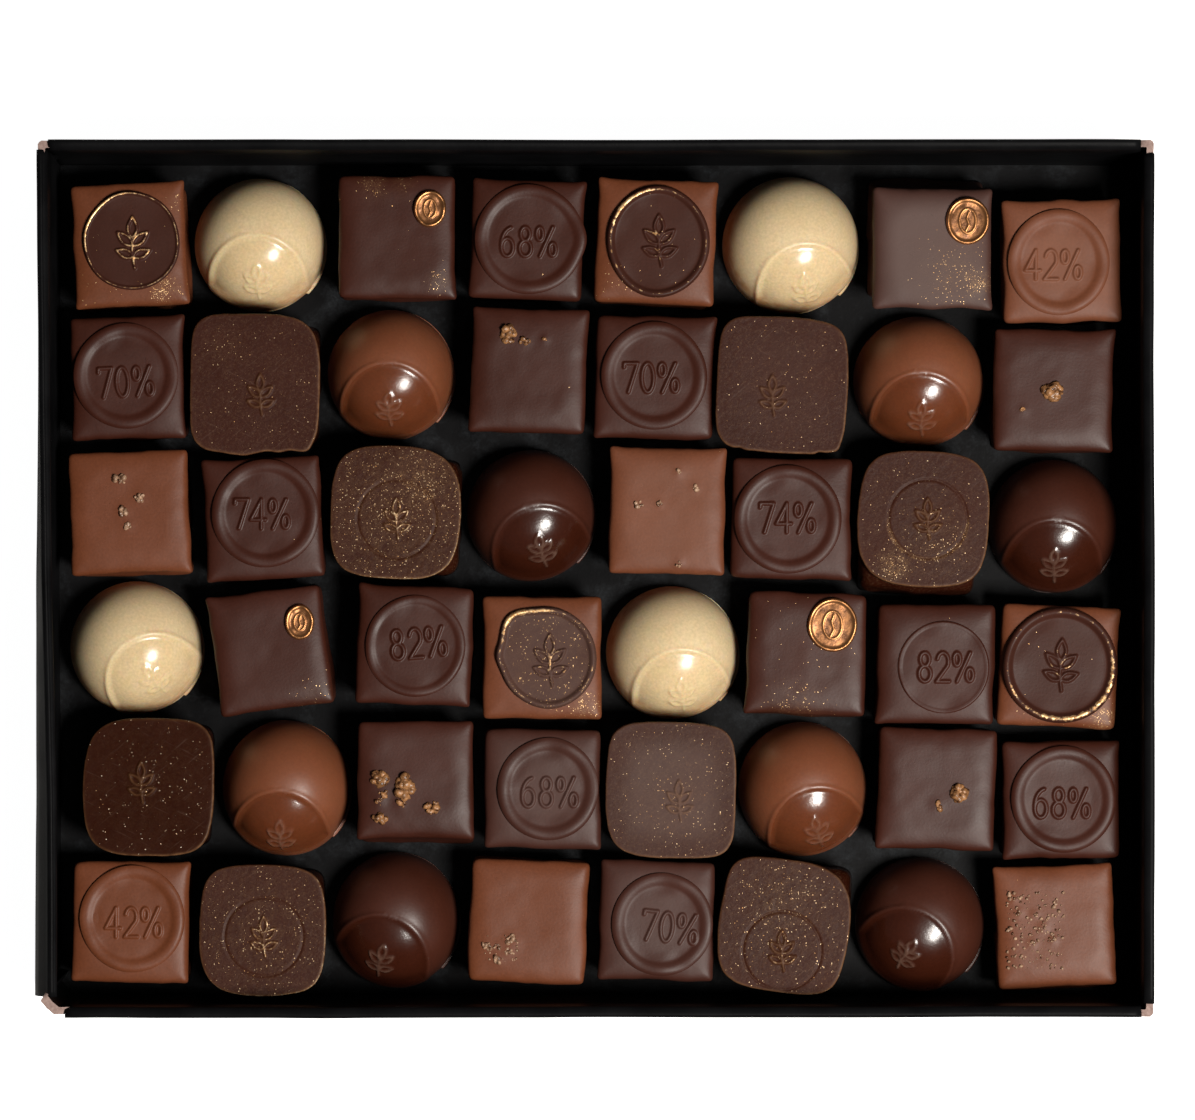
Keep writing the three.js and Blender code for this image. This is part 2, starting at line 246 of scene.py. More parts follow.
# Plain figures in a box one wide and one high, and the room that each takes
FIGURES: dict[str, tuple[float, list[np.ndarray]]] = {
    "0": (1.12, [arc(0.5, 0.5, 0.36, 0.5, 0, 360, 28)]),
    "2": (1.08, [arc(0.48, 0.7, 0.34, 0.3, 165, -35, 16), line((0.76, 0.53), (0.08, 0.0), (0.88, 0.0))]),
    "4": (1.12, [line((0.68, 0.0), (0.68, 1.0), (0.04, 0.3), (0.94, 0.3))]),
    "6": (1.1, [arc(0.5, 0.31, 0.36, 0.31, 0, 360, 24), arc(0.86, 0.4, 0.72, 0.6, 185, 102, 12)]),
    "7": (1.02, [line((0.08, 0.86), (0.1, 1.0), (0.9, 1.0), (0.34, 0.0))]),
    "8": (1.12, [arc(0.5, 0.27, 0.36, 0.27, 0, 360, 24), arc(0.5, 0.77, 0.28, 0.23, 0, 360, 22)]),
    "%": (
        1.3,
        [
            arc(0.26, 0.77, 0.2, 0.22, 0, 360, 18),
            line((1.06, 1.0), (0.26, 0.0)),
            arc(1.04, 0.23, 0.2, 0.22, 0, 360, 18),
        ],
    ),
}


def number_strokes(text: str, wide: float, high: float) -> Strokes:
    """Sets a number in plain strokes about its middle.

    Args:
        text: The number, with its percent sign.
        wide: The width of a figure's box.
        high: The height of the figures.

    Returns:
        Its lines.
    """
    room = sum(FIGURES[sign][0] for sign in text)
    lines, at = [], -room / 2
    for sign in text:
        for drawn in FIGURES[sign][1]:
            lines.append(np.stack([(drawn[:, 0] + at) * wide, (drawn[:, 1] - 0.5) * high], axis=1))
        at += FIGURES[sign][0]
    return Strokes(lines)


def leaf(x: float, y: float, long: float, wide: float, angle: float) -> np.ndarray:
    """Draws the outline of one pointed leaf.

    Args:
        x: Where its stalk ends, along x.
        y: Where its stalk ends, along y.
        long: Its length.
        wide: Its width.
        angle: Which way it points.

    Returns:
        The points of its outline.
    """
    along = np.linspace(0.0, 1.0, 10)
    side = wide / 2 * np.sin(np.pi * along**0.85)
    px = np.concatenate([along, along[::-1]]) * long
    py = np.concatenate([side, -side[::-1]])
    tx, ty = turned(px, py, angle)
    return np.stack([tx + x, ty + y], axis=1)


def sprig_strokes(size: float) -> Strokes:
    """Draws a sprig of five leaves on a bent stalk, about its middle.

    Args:
        size: Half its height.

    Returns:
        Its lines.
    """
    lines = [
        line((0.1, -1.0), (0.04, -0.7), (0.0, -0.3), (0.0, 0.2)),
        leaf(0.0, 0.2, 0.8, 0.36, 90),
        leaf(0.0, -0.12, 0.78, 0.34, 42),
        leaf(0.0, -0.12, 0.78, 0.34, 138),
        leaf(0.03, -0.56, 0.7, 0.32, 22),
        leaf(0.03, -0.56, 0.7, 0.32, 158),
    ]
    return Strokes([part * size for part in lines])


def bean_strokes(size: float) -> Strokes:
    """Draws a cocoa bean with its seam, about its middle.

    Args:
        size: Half its height.

    Returns:
        Its lines.
    """
    seam = line((-0.12, -0.72), (0.1, -0.3), (-0.06, 0.2), (0.1, 0.7))
    return Strokes([arc(0, 0, 0.62, 0.92, 0, 360, 24) * size, seam * size])


# Meshes


class Skin:
    """A closed skin made of a flat grid, whose rings run from the middle of a top to the edge of a foot."""

    bases: dict[int, bpy.types.Mesh] = {}

    def __init__(self, steps: int, power: float) -> None:
        """Takes a grid and works out where each of its points lies on its ring.

        Args:
            steps: Squares along a side of the grid.
            power: Of the superellipse that the rings follow, 2 for circles.
        """
        self.base = self.bases.get(steps) or self.make_base(steps)
        flat = np.zeros(len(self.base.vertices) * 3)
        self.base.vertices.foreach_get("co", flat)
        flat = flat.reshape(-1, 3)[:, :2]
        self.share = np.abs(flat).max(axis=1)
        u, v = flat[:, 0], flat[:, 1]
        if power < LINEAR_POWER:
            wide = np.abs(u) >= np.abs(v)
            ratio = np.where(wide, v / np.where(u == 0, 1, u), u / np.where(v == 0, 1, v))
            angle = np.where(wide, np.pi / 4 * ratio, np.pi / 2 - np.pi / 4 * ratio)
            angle = angle + np.where(np.where(wide, u, v) < 0, np.pi, 0.0)
        else:
            angle = np.arctan2(v, u)
        self.angle = angle
        cos, sin = np.cos(angle), np.sin(angle)
        far = (np.abs(cos) ** power + np.abs(sin) ** power) ** (-1.0 / power)
        self.way = np.stack([cos * far, sin * far], axis=1)
        self.points = np.zeros((len(flat), 3))
        self.marks: dict[str, np.ndarray] = {}

    @classmethod
    def make_base(cls, steps: int) -> bpy.types.Mesh:
        """Makes the grid of this many steps, with its underside closed.

        Args:
            steps: Squares along a side.

        Returns:
            The mesh, which later skins of as many steps share.
        """
        form = bmesh.new()
        bmesh.ops.create_grid(form, x_segments=steps, y_segments=steps, size=1.0)
        edge = [e for e in form.edges if e.is_boundary]
        bmesh.ops.holes_fill(form, edges=edge, sides=0)
        reach = max(abs(v.co.x) for v in form.verts)
        for v in form.verts:
            v.co /= reach
            v.co.z = -max(abs(v.co.x), abs(v.co.y))
        bmesh.ops.recalc_face_normals(form, faces=form.faces)
        mesh = bpy.data.meshes.new(f"grid_{steps}")
        form.to_mesh(mesh)
        form.free()
        cls.bases[steps] = mesh
        return mesh

    def fill(self, section: tuple[tuple[float, float, float], ...], half: tuple[float, float]) -> None:
        """Lays the rings along a section.

        Args:
            section: Rows of the ring's share, its inset from the outline and its height.
                A share of nought is the middle, whose inset is left out of account.
            half: Half the outline's width and depth.
        """
        first = section[0]
        inset, height = through(section, np.maximum(self.share, first[0])).T
        inner = np.minimum(self.share / first[0], 1.0)
        for axis in (0, 1):
            self.points[:, axis] = self.way[:, axis] * (half[axis] - inset) * inner
        self.points[:, 2] = height

    def mark(self, name: str, values: np.ndarray) -> None:
        """Keeps a value between 0 and 1 for each point, for the finish to read."""
        self.marks[name] = np.clip(values, 0.0, 1.0)


def placed(name: str, form: bmesh.types.BMesh, smooth: bool = True) -> bpy.types.Object:
    """Makes an object of a form and puts it in the scene.

    Args:
        name: The object's name.
        form: Its shape, which is freed.
        smooth: Whether its faces are shaded as one smooth surface.

    Returns:
        The object, at the origin.
    """
    mesh = bpy.data.meshes.new(name)
    form.to_mesh(mesh)
    form.free()
    if smooth:
        mesh.shade_smooth()
    thing = bpy.data.objects.new(name, mesh)
    bpy.context.scene.collection.objects.link(thing)
    return thing


def joined(name: str, skins: list[Skin], marks: tuple[str, ...]) -> bpy.types.Object:
    """Makes one object of several skins.

    Args:
        name: The object's name.
        skins: What it is made of, in millimetres.
        marks: The values that the finish reads from it.

    Returns:
        The object, at the origin.
    """
    form = bmesh.new()
    for skin in skins:
        form.from_mesh(skin.base)
    thing = placed(name, form)
    points = np.concatenate([skin.points for skin in skins]) * MM
    thing.data.vertices.foreach_set("co", points.astype(np.float32).ravel())
    for mark in marks:
        values = [skin.marks.get(mark, np.zeros(len(skin.points))) for skin in skins]
        made = thing.data.attributes.new(mark, "FLOAT", "POINT")
        made.data.foreach_set("value", np.concatenate(values).astype(np.float32))
    thing.data.update()
    return thing


def mounted(thing: bpy.types.Object, node: str, slot: str, *coats: bpy.types.Material) -> None:
    """Dresses a piece and puts it in its node's place.

    Args:
        thing: The piece.
        node: The CAD node that it stands for.
        slot: The record's material slot. It is not used.
        coats: Its materials, in the order that its faces name them.
    """
    for coat in coats:
        thing.data.materials.append(coat)
    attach(thing, "root")
    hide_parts(node)
    log.info("%s: %d triangles", thing.name, sum(len(face.vertices) - 2 for face in thing.data.polygons))


# Finishes


Socket = bpy.types.NodeSocket
Colour = tuple[float, float, float]


class Sheet:
    """A node tree that is filled from left to right."""

    def __init__(self, tree: bpy.types.NodeTree) -> None:
        """Starts on a tree."""
        self.tree = tree

    def node(self, kind: str, settings: dict | None = None, **inputs: object) -> bpy.types.Node:
        """Adds a node.

        Args:
            kind: Blender's name of the node, without its first word.
            settings: Its options.
            inputs: Its sockets by name, spaces as underscores: a value, or an output to link.

        Returns:
            The node.
        """
        made = self.tree.nodes.new("ShaderNode" + kind)
        for option, value in (settings or {}).items():
            setattr(made, option, value)
        for name, value in inputs.items():
            numbered = name[0] == "n" and name[1:].isdigit()
            socket = made.inputs[int(name[1:]) if numbered else name.replace("_", " ")]
            if isinstance(value, Socket):
                self.tree.links.new(value, socket)
            else:
                socket.default_value = value
        return made

    def math(self, kind: str, a: object, b: object = 0.0, clamp: bool = False) -> Socket:
        """Adds a sum of two values and gives its output."""
        return self.node("Math", {"operation": kind, "use_clamp": clamp}, n0=a, n1=b).outputs[0]

    def times(self, a: object, b: object, clamp: bool = False) -> Socket:
        """Multiplies two values."""
        return self.math("MULTIPLY", a, b, clamp)

    def blend(self, share: object, a: object, b: object, kind: str = "MIX") -> Socket:
        """Mixes two colours, given as sockets or as red, green and blue."""
        a, b = ((*c, 1.0) if isinstance(c, tuple) else c for c in (a, b))
        made = self.node("Mix", {"data_type": "RGBA", "blend_type": kind}, n0=share, n6=a, n7=b)
        return made.outputs[2]

    def between(self, value: object, low: float, high: float, start: float = 0.0, end: float = 1.0) -> Socket:
        """Maps a range of values to another, without going past its ends."""
        return self.node("MapRange", {"clamp": True}, n0=value, n1=low, n2=high, n3=start, n4=end).outputs[0]

    def noise(self, place: object, scale: object, detail: float = 3.0, rough: float = 0.55) -> Socket:
        """Adds a noise and gives its value."""
        return self.node("TexNoise", Vector=place, Scale=scale, Detail=detail, Roughness=rough).outputs[0]

    def mark(self, name: str) -> Socket:
        """Reads a mark that the piece keeps for each point."""
        return self.node("Attribute", {"attribute_name": name}).outputs["Fac"]

    def shader(self, bump: tuple[float, float, object], **inputs: object) -> None:
        """Ends a material with its bump, its shader and its output.

        Args:
            bump: How strong the bump is, how deep, and its height.
            inputs: The shader's sockets.
        """
        strength, distance, height = bump
        bumped = self.node("Bump", Strength=strength, Distance=distance, Height=height)
        made = self.node("BsdfPrincipled", Normal=bumped.outputs[0], **inputs)
        self.node("OutputMaterial", Surface=made.outputs[0])


def started(name: str) -> tuple[bpy.types.Material, Sheet, Socket]:
    """Starts a material.

    Args:
        name: Its name.

    Returns:
        The material, a sheet on it, and the place on the piece that it is read at.
    """
    made = bpy.data.materials.new(name)
    made.use_nodes = True
    made.node_tree.nodes.clear()
    sheet = Sheet(made.node_tree)
    return made, sheet, sheet.node("TexCoord").outputs["Object"]


def group(
    name: str, inputs: dict[str, float], outputs: tuple[str, ...]
) -> tuple[Sheet, dict[str, Socket], dict[str, Socket]]:
    """Starts a shader group with its sockets.

    Args:
        name: Its name.
        inputs: Its number inputs with their defaults. Every group also takes a Place.
        outputs: Its number outputs.

    Returns:
        A sheet on it, what it is given and what it puts out, by name.
    """
    tree = bpy.data.node_groups.new(name, "ShaderNodeTree")
    tree.interface.new_socket("Place", in_out="INPUT", socket_type="NodeSocketVector")
    for key, value in inputs.items():
        made = tree.interface.new_socket(key, in_out="INPUT", socket_type="NodeSocketFloat")
        made.default_value = value
    for key in outputs:
        tree.interface.new_socket(key, in_out="OUTPUT", socket_type="NodeSocketFloat")
    given, out = tree.nodes.new("NodeGroupInput"), tree.nodes.new("NodeGroupOutput")
    return Sheet(tree), given.outputs, out.inputs


def speck_group() -> bpy.types.NodeTree:
    """Makes scattered specks, such as gold dust: round points, some of the cells of a fine pattern.

    Returns:
        The group, whose inputs are Scale, Amount (the share of cells that hold a speck) and Size.
    """
    sheet, given, out = group("specks", {"Scale": 900.0, "Amount": 0.1, "Size": 0.25}, ("Mask",))
    cells = sheet.node("TexVoronoi", {"feature": "F1"}, Vector=given["Place"], Scale=given["Scale"])
    parts = sheet.node("SeparateColor", Color=cells.outputs["Color"])
    on = sheet.math("LESS_THAN", parts.outputs[0], given["Amount"])
    size = sheet.times(given["Size"], sheet.math("ADD", parts.outputs[1], 0.4))
    near = sheet.math("LESS_THAN", cells.outputs["Distance"], size)
    sheet.tree.links.new(sheet.times(on, near), out["Mask"])
    return sheet.tree


def cloud_group() -> bpy.types.NodeTree:
    """Makes the cloudy unevenness of a set chocolate's colour and gloss, and its fine grain.

    Returns:
        The group, whose outputs are Cloud and Grain, from 0 to 1.
    """
    scales = {"Cloud": 90.0, "Grain": 1800.0}
    inputs = {f"{key} Scale": scale for key, scale in scales.items()}
    sheet, given, out = group("set_chocolate", inputs, (*scales,))
    for key in scales:
        sheet.tree.links.new(sheet.noise(given["Place"], given[f"{key} Scale"], 4.0, 0.5), out[key])
    return sheet.tree


MARKS = ("gilt", "dust", "bloom", "polish_and_shade", "pale")
GILT = (0.5, 0.25, 0.09)
POWDER = (0.3, 0.17, 0.08)
SCRATCH = (0.007, 0.0004, 0.007)  # how long and how wide a scratch is, in metres
POLISHED_ROUGHNESS = 0.22
SOAK = (0.0014, 0.0004, 0.00016)  # how far light goes in milk chocolate, in metres
# A brown painted highlight for the edges and relief lines of plates.
PAINTED_HIGHLIGHT = (0.27, 0.135, 0.06)


@dataclass(frozen=True)
class ChocolateFinish:
    """How one chocolate looks: its darker and its paler colour first, then its gloss and what lies on it."""

    name: str
    colour: Colour
    pale: Colour
    roughness: float
    gloss_spread: float = 0.08
    depth: float = 0.0
    reach: Colour = (0.0, 0.0, 0.0)
    grain: float = 0.02
    specular: float = 0.5
    spark: Colour = (0.86, 0.6, 0.33)
    # Colour painted where a piece is marked pale: a warm painted shade on the white domes' edges, painted
    # highlights on plates' edges and on relief lines.
    worn: Colour = (0.24, 0.15, 0.11)
    # Colour of the veil over the top: partly real bloom, partly a painted sheen.
    veil_and_sheen: Colour = (0.16, 0.112, 0.1)
    # Darkens polished places: a painted shade.
    polished_shade: Colour = (0.66, 0.58, 0.51)
    scratches: float = 0.0
    mottled: float = 0.0

    def material(self, groups: dict[str, bpy.types.NodeTree]) -> bpy.types.Material:
        """Makes the material.

        Args:
            groups: The shared effects by name.

        Returns:
            The material, which reads from its piece the marks for gilt, dust, a bloom veil that is partly a
            painted sheen, polish that also paints shade, and pale places where light and shade are painted.
        """
        made, sheet, place = started(self.name)
        gilt, dust, bloom, polish_and_shade, pale = map(sheet.mark, MARKS)
        cloud = sheet.node("Group", {"node_tree": groups["cloud"]}, Place=place)
        fine = cloud.outputs["Grain"]
        soft = sheet.between(cloud.outputs["Cloud"], 0.3, 0.72)
        colour = sheet.blend(soft, self.colour, self.pale)
        shade = sheet.between(fine, 0.25, 0.75, 0.88, 1.1)
        colour = sheet.node("VectorMath", {"operation": "SCALE"}, n0=colour, Scale=shade).outputs[0]
        # Polished places are also darkened: a painted shade in the domes' recessed panels and on the bodies
        # under the plates.
        colour = sheet.blend(polish_and_shade, colour, sheet.blend(1.0, colour, self.polished_shade, "MULTIPLY"))
        # A pale veil over the top: partly real sugar bloom, partly a painted sheen on pieces that face the
        # light.
        colour = sheet.blend(sheet.times(bloom, 0.5), colour, self.veil_and_sheen)
        # Pale marks paint light and shade in broken patches: a warm painted shade on the white domes, painted
        # highlights on plates' edges and on sprigs.
        broken = sheet.between(sheet.noise(place, 500.0, 3.0, 0.65), 0.3, 0.62, 0.2, 0.75)
        colour = sheet.blend(sheet.times(pale, broken, clamp=True), colour, self.worn)
        if self.scratches:
            colour = self.scratched(sheet, place, colour)
        gold = self.gold(sheet, place, groups["specks"], gilt, dust)
        mist = sheet.times(gold["dusted"], dust)
        mist = sheet.times(mist, sheet.between(sheet.noise(place, 3800.0, 2.0, 0.6), 0.4, 0.66, 0.15, 1.0))
        colour = sheet.blend(sheet.math("MINIMUM", sheet.times(mist, 0.42), 0.5), colour, POWDER)
        tone = sheet.between(sheet.noise(place, 2600.0, 1.0), 0.35, 0.65)
        colour = sheet.blend(gold["gold"], colour, sheet.blend(tone, GILT, self.spark))
        spread = self.gloss_spread
        rough = sheet.between(soft, 0.0, 1.0, self.roughness - spread, self.roughness + spread)
        rough = sheet.math("ADD", rough, sheet.times(bloom, 0.2))
        rough = sheet.math("SUBTRACT", rough, sheet.times(polish_and_shade, self.roughness - POLISHED_ROUGHNESS))
        more: dict[str, object] = {}
        if self.depth:
            more = {"Subsurface_Weight": self.depth, "Subsurface_Radius": self.reach, "Subsurface_Scale": 1.0}
        sheet.shader(
            (self.grain * 10, 0.0001, sheet.math("ADD", fine, sheet.times(gold["gold"], 0.4))),
            Base_Color=colour, Roughness=rough, Metallic=sheet.times(gold["gold"], 0.8),
            Specular_IOR_Level=self.specular, **more,
        )
        return made

    def scratched(self, sheet: Sheet, place: Socket, colour: Socket) -> Socket:
        """Lays crossing scratches and a mottled film over a colour.

        Args:
            sheet: The material's sheet.
            place: The place on the piece.
            colour: The colour.

        Returns:
            The colour with them.
        """
        found = []
        for turn, low in ((0.7, 0.64), (-0.45, 0.66)):
            drawn = sheet.node(
                "Mapping", {"vector_type": "TEXTURE"}, Vector=place, Rotation=(0.0, 0.0, turn), Scale=SCRATCH
            )
            found.append(sheet.between(sheet.noise(drawn.outputs[0], 1.0, 2.0), low, low + 0.1))
        lines = sheet.times(sheet.math("ADD", *found), self.scratches, clamp=True)
        colour = sheet.blend(lines, colour, (0.19, 0.125, 0.095))
        mottle = sheet.between(sheet.noise(place, 2300.0, 4.0, 0.75), 0.52, 0.7, 0.0, self.mottled)
        return sheet.blend(mottle, colour, (0.27, 0.16, 0.085))

    def gold(
        self, sheet: Sheet, place: Socket, specks: bpy.types.NodeTree, gilt: Socket, dust: Socket
    ) -> dict[str, Socket]:
        """Works out where gold lies: brushed on edges, and as dust in small and in larger specks.

        Args:
            sheet: The material's sheet.
            place: The place on the piece.
            specks: The group that scatters specks.
            gilt: How gilded a place is.
            dust: How dusty a place is.

        Returns:
            The share of gold, and how thick the dust lies.
        """
        patchy = sheet.noise(place, 700.0, 3.0, 0.65)
        edge = sheet.between(sheet.math("ADD", gilt, sheet.times(patchy, 0.9)), 0.98, 1.16)
        dusted = sheet.times(dust, sheet.between(sheet.noise(place, 550.0, 4.0, 0.7), 0.34, 0.68, 0.1, 1.5))
        small = sheet.times(dusted, sheet.times(dust, 0.42))
        large = sheet.math("ADD", sheet.times(dust, 0.06), 0.0012)
        found = [
            sheet.node(
                "Group", {"node_tree": specks}, Place=place, Scale=scale, Amount=amount, Size=size
            ).outputs[0]
            for scale, amount, size in ((4400.0, small, 0.34), (1300.0, large, 0.13))
        ]
        gold = sheet.math("MAXIMUM", edge, sheet.math("MAXIMUM", *found), clamp=True)
        return {"gold": gold, "dusted": dusted}


FINISHES = (
    ChocolateFinish(
        "milk", (0.12, 0.034, 0.0128), (0.145, 0.0425, 0.0175), 0.48, 0.05,
        specular=0.24, veil_and_sheen=(0.34, 0.17, 0.115),
    ),
    ChocolateFinish("milk_dome", (0.172, 0.052, 0.0212), (0.192, 0.062, 0.0275), 0.42, 0.04, 0.2, SOAK),
    ChocolateFinish("dark", (0.038, 0.0092, 0.0047), (0.048, 0.012, 0.0066), 0.47, 0.06, specular=0.25),
    ChocolateFinish("dark_seal", (0.036, 0.0088, 0.0044), (0.044, 0.011, 0.0058), 0.44, 0.05, specular=0.12),
    ChocolateFinish("dark_dome", (0.05, 0.0125, 0.0062), (0.058, 0.015, 0.008), 0.42, 0.04),
    ChocolateFinish(
        "dark_plate", (0.029, 0.0064, 0.003), (0.037, 0.0088, 0.0044), 0.5, specular=0.12, grain=0.05,
        spark=(0.92, 0.7, 0.45), worn=PAINTED_HIGHLIGHT, scratches=0.1, mottled=0.15,
    ),
    ChocolateFinish(
        "dark_gloss", (0.02, 0.0038, 0.0012), (0.024, 0.005, 0.0018), 0.36, 0.04, specular=0.06,
        spark=(0.9, 0.8, 0.66), worn=PAINTED_HIGHLIGHT, scratches=0.12, mottled=0.03,
    ),
    ChocolateFinish(
        "white", (0.65, 0.5, 0.295), (0.7, 0.55, 0.335), 0.4, 0.04, 0.4, (0.004, 0.0016, 0.0006), 0.01,
        specular=0.4, worn=(0.42, 0.16, 0.05), polished_shade=(0.985, 0.965, 0.93),
    ),
)


def crumb_material(name: str, deep: Colour, bright: Colour) -> bpy.types.Material:
    """Makes rough crumbs with dark hollows.

    Args:
        name: The material's name.
        deep: The colour of the hollows.
        bright: The colour of the tips.

    Returns:
        The material.
    """
    made, sheet, place = started(name)
    tone = sheet.noise(place, 900.0, 3.0, 0.6)
    sheet.shader(
        (0.5, 0.0002, sheet.noise(place, 2400.0)),
        Base_Color=sheet.blend(sheet.between(tone, 0.35, 0.62), deep, bright),
        Roughness=sheet.between(tone, 0.3, 0.7, 0.25, 0.45),
    )
    return made


def gilt_material() -> bpy.types.Material:
    """Makes a gilded seal: gold powder over chocolate, worn thin in places."""
    made, sheet, place = started("gilt_seal")
    patchy = sheet.noise(place, 800.0, 4.0, 0.65)
    worn = sheet.between(sheet.math("ADD", sheet.mark("gilt"), patchy), 0.62, 1.15)
    sheet.shader(
        (0.35, 0.0001, sheet.noise(place, 2200.0)),
        Base_Color=sheet.blend(worn, (0.1, 0.034, 0.013), (0.5, 0.225, 0.088)),
        Roughness=sheet.between(patchy, 0.3, 0.7, 0.28, 0.5),
        Metallic=sheet.between(worn, 0.0, 1.0, 0.35, 0.95),
    )
    return made


def card_material(name: str, raw: bool) -> bpy.types.Material:
    """Makes the tray's card: black coated paper that is creased and rubbed, or the raw board of its cut ends.

    Args:
        name: The material's name.
        raw: Whether it is the raw board.

    Returns:
        The material, which reads the marks for rubbed places and for a pale bluish film, partly dust and
        partly a painted sheen, from its piece.
    """
    made, sheet, place = started(name)
    fibre = sheet.noise(place, 1500.0, 5.0, 0.6)
    cloud = sheet.noise(place, 70.0, 4.0, 0.6)
    if raw:
        colour = sheet.blend(sheet.between(fibre, 0.3, 0.7), (0.24, 0.16, 0.14), (0.4, 0.29, 0.26))
        rough = sheet.between(fibre, 0.0, 1.0, 0.85, 0.95)
    else:
        colour = sheet.blend(sheet.between(cloud, 0.35, 0.7), (0.003, 0.003, 0.0034), (0.006, 0.006, 0.0066))
        worn = sheet.between(sheet.math("ADD", sheet.mark("rubbed"), sheet.times(fibre, 0.8)), 1.15, 1.35)
        colour = sheet.blend(worn, colour, (0.36, 0.3, 0.27))
        # A blotchy pale bluish film, partly dust and partly a painted sheen.
        patchy = sheet.noise(place, 120.0, 7.0, 0.75)
        film = sheet.times(sheet.mark("dust_and_sheen"), sheet.between(patchy, 0.5, 0.78))
        film = sheet.times(film, sheet.between(sheet.noise(place, 2600.0, 2.0), 0.35, 0.65, 0.4, 1.2))
        colour = sheet.blend(sheet.times(film, 0.26), colour, (0.07, 0.08, 0.09))
        rough = sheet.between(cloud, 0.3, 0.7, 0.36, 0.5)
    sheet.shader(
        (0.3, 0.0001, fibre), Base_Color=colour, Roughness=rough, Specular_IOR_Level=0.0 if raw else 0.045
    )
    return made


class Finishes:
    """Every finish of the object, made once."""

    def __init__(self) -> None:
        """Makes the shared effects and the materials."""
        groups = {"specks": speck_group(), "cloud": cloud_group()}
        self.chocolate = {finish.name: finish.material(groups) for finish in FINISHES}
        self.crumbs = {
            Kind.DARK: crumb_material("caramel_crumb", (0.045, 0.015, 0.006), (0.4, 0.19, 0.075)),
            Kind.MILK: crumb_material("salt_crumb", (0.085, 0.032, 0.015), (0.44, 0.27, 0.17)),
        }
        self.gilt = gilt_material()
        self.card = card_material("black_card", False)
        self.board = card_material("raw_board", True)


# The pralines


@dataclass(frozen=True)
class Place:
    """Where a praline's top is, how large it is, how far it is turned and where its foot lies from there."""

    x: float
    y: float
    wide: float
    deep: float
    turn: float = 0.0
    lean: tuple[float, float] = (0.0, 0.0)

    @property
    def half(self) -> tuple[float, float]:
        """Half its width and depth."""
        return self.wide / 2, self.deep / 2

    def stand(self, points: np.ndarray, high: float) -> np.ndarray:
        """Turns, leans and stands points that were made about the middle of the foot.

        Args:
            points: The points.
            high: The praline's height.

        Returns:
            The points in the tray.
        """
        low = 1.0 - np.clip(points[:, 2] / high, 0.0, 1.0)
        x, y = turned(points[:, 0], points[:, 1], self.turn)
        x, y = x + self.x + self.lean[0] * low, y + self.y + self.lean[1] * low
        return np.stack([x, y, points[:, 2] + FOOT], axis=1)


@dataclass(frozen=True)
class Round:
    """Where a pressed round is and how large."""

    x: float
    y: float
    wide: float
    deep: float


@dataclass(frozen=True)
class Dust:
    """A patch of gold dust: its middle from the praline's own, its reach, and how thick it lies."""

    x: float
    y: float
    reach: float
    amount: float


INNER_POWER = 4.0
DOME_POWER = 2.0 / 2.3
FOOT_BULGE = 0.55
RIM_SHARE = 0.885  # where the crest of a round's rim is, as a share of its radius
SQUARE_SECTION = (
    (0.5, 4.6, 14.6),
    (0.57, 3.5, 14.55),
    (0.63, 2.6, 14.44),
    (0.69, 1.75, 14.26),
    (0.74, 1.05, 14.04),
    (0.78, 0.6, 13.8),
    (0.81, 0.3, 13.5),
    (0.835, 0.13, 13.1),
    (0.86, 0.08, 12.5),
    (0.885, 0.14, 11.5),
    (0.92, 0.8, 7.5),
    (0.955, 0.85, 2.6),
    (0.985, 0.5, 0.8),
    (1.0, 0.6, 0.0),
)
PLATE_BODY_SECTION = (
    (0.5, 4.0, 12.8),
    (0.58, 2.2, 12.4),
    (0.66, 0.9, 11.4),
    (0.75, 0.25, 9.6),
    (0.85, 0.2, 6.0),
    (0.95, 0.2, 1.5),
    (1.0, 0.0, 0.0),
)
PLATE_SECTION = (
    (0.86, 0.45, 16.6),
    (0.875, 0.24, 16.58),
    (0.89, 0.11, 16.49),
    (0.905, 0.04, 16.32),
    (0.92, 0.0, 16.0),
    (0.945, 0.0, 14.9),
    (0.97, 0.15, 13.4),
    (0.985, 0.4, 12.7),
    (1.0, 0.9, 12.4),
)
PLATE_EDGE = 0.89  # the share at which the plate's top turns down
RING_RADIUS = 8.0
DOME_SPREAD = 0.985  # how wide the dome is, as a share of its place
DOME_SHARE = 0.935  # rings of a larger share are the dome's thin foot


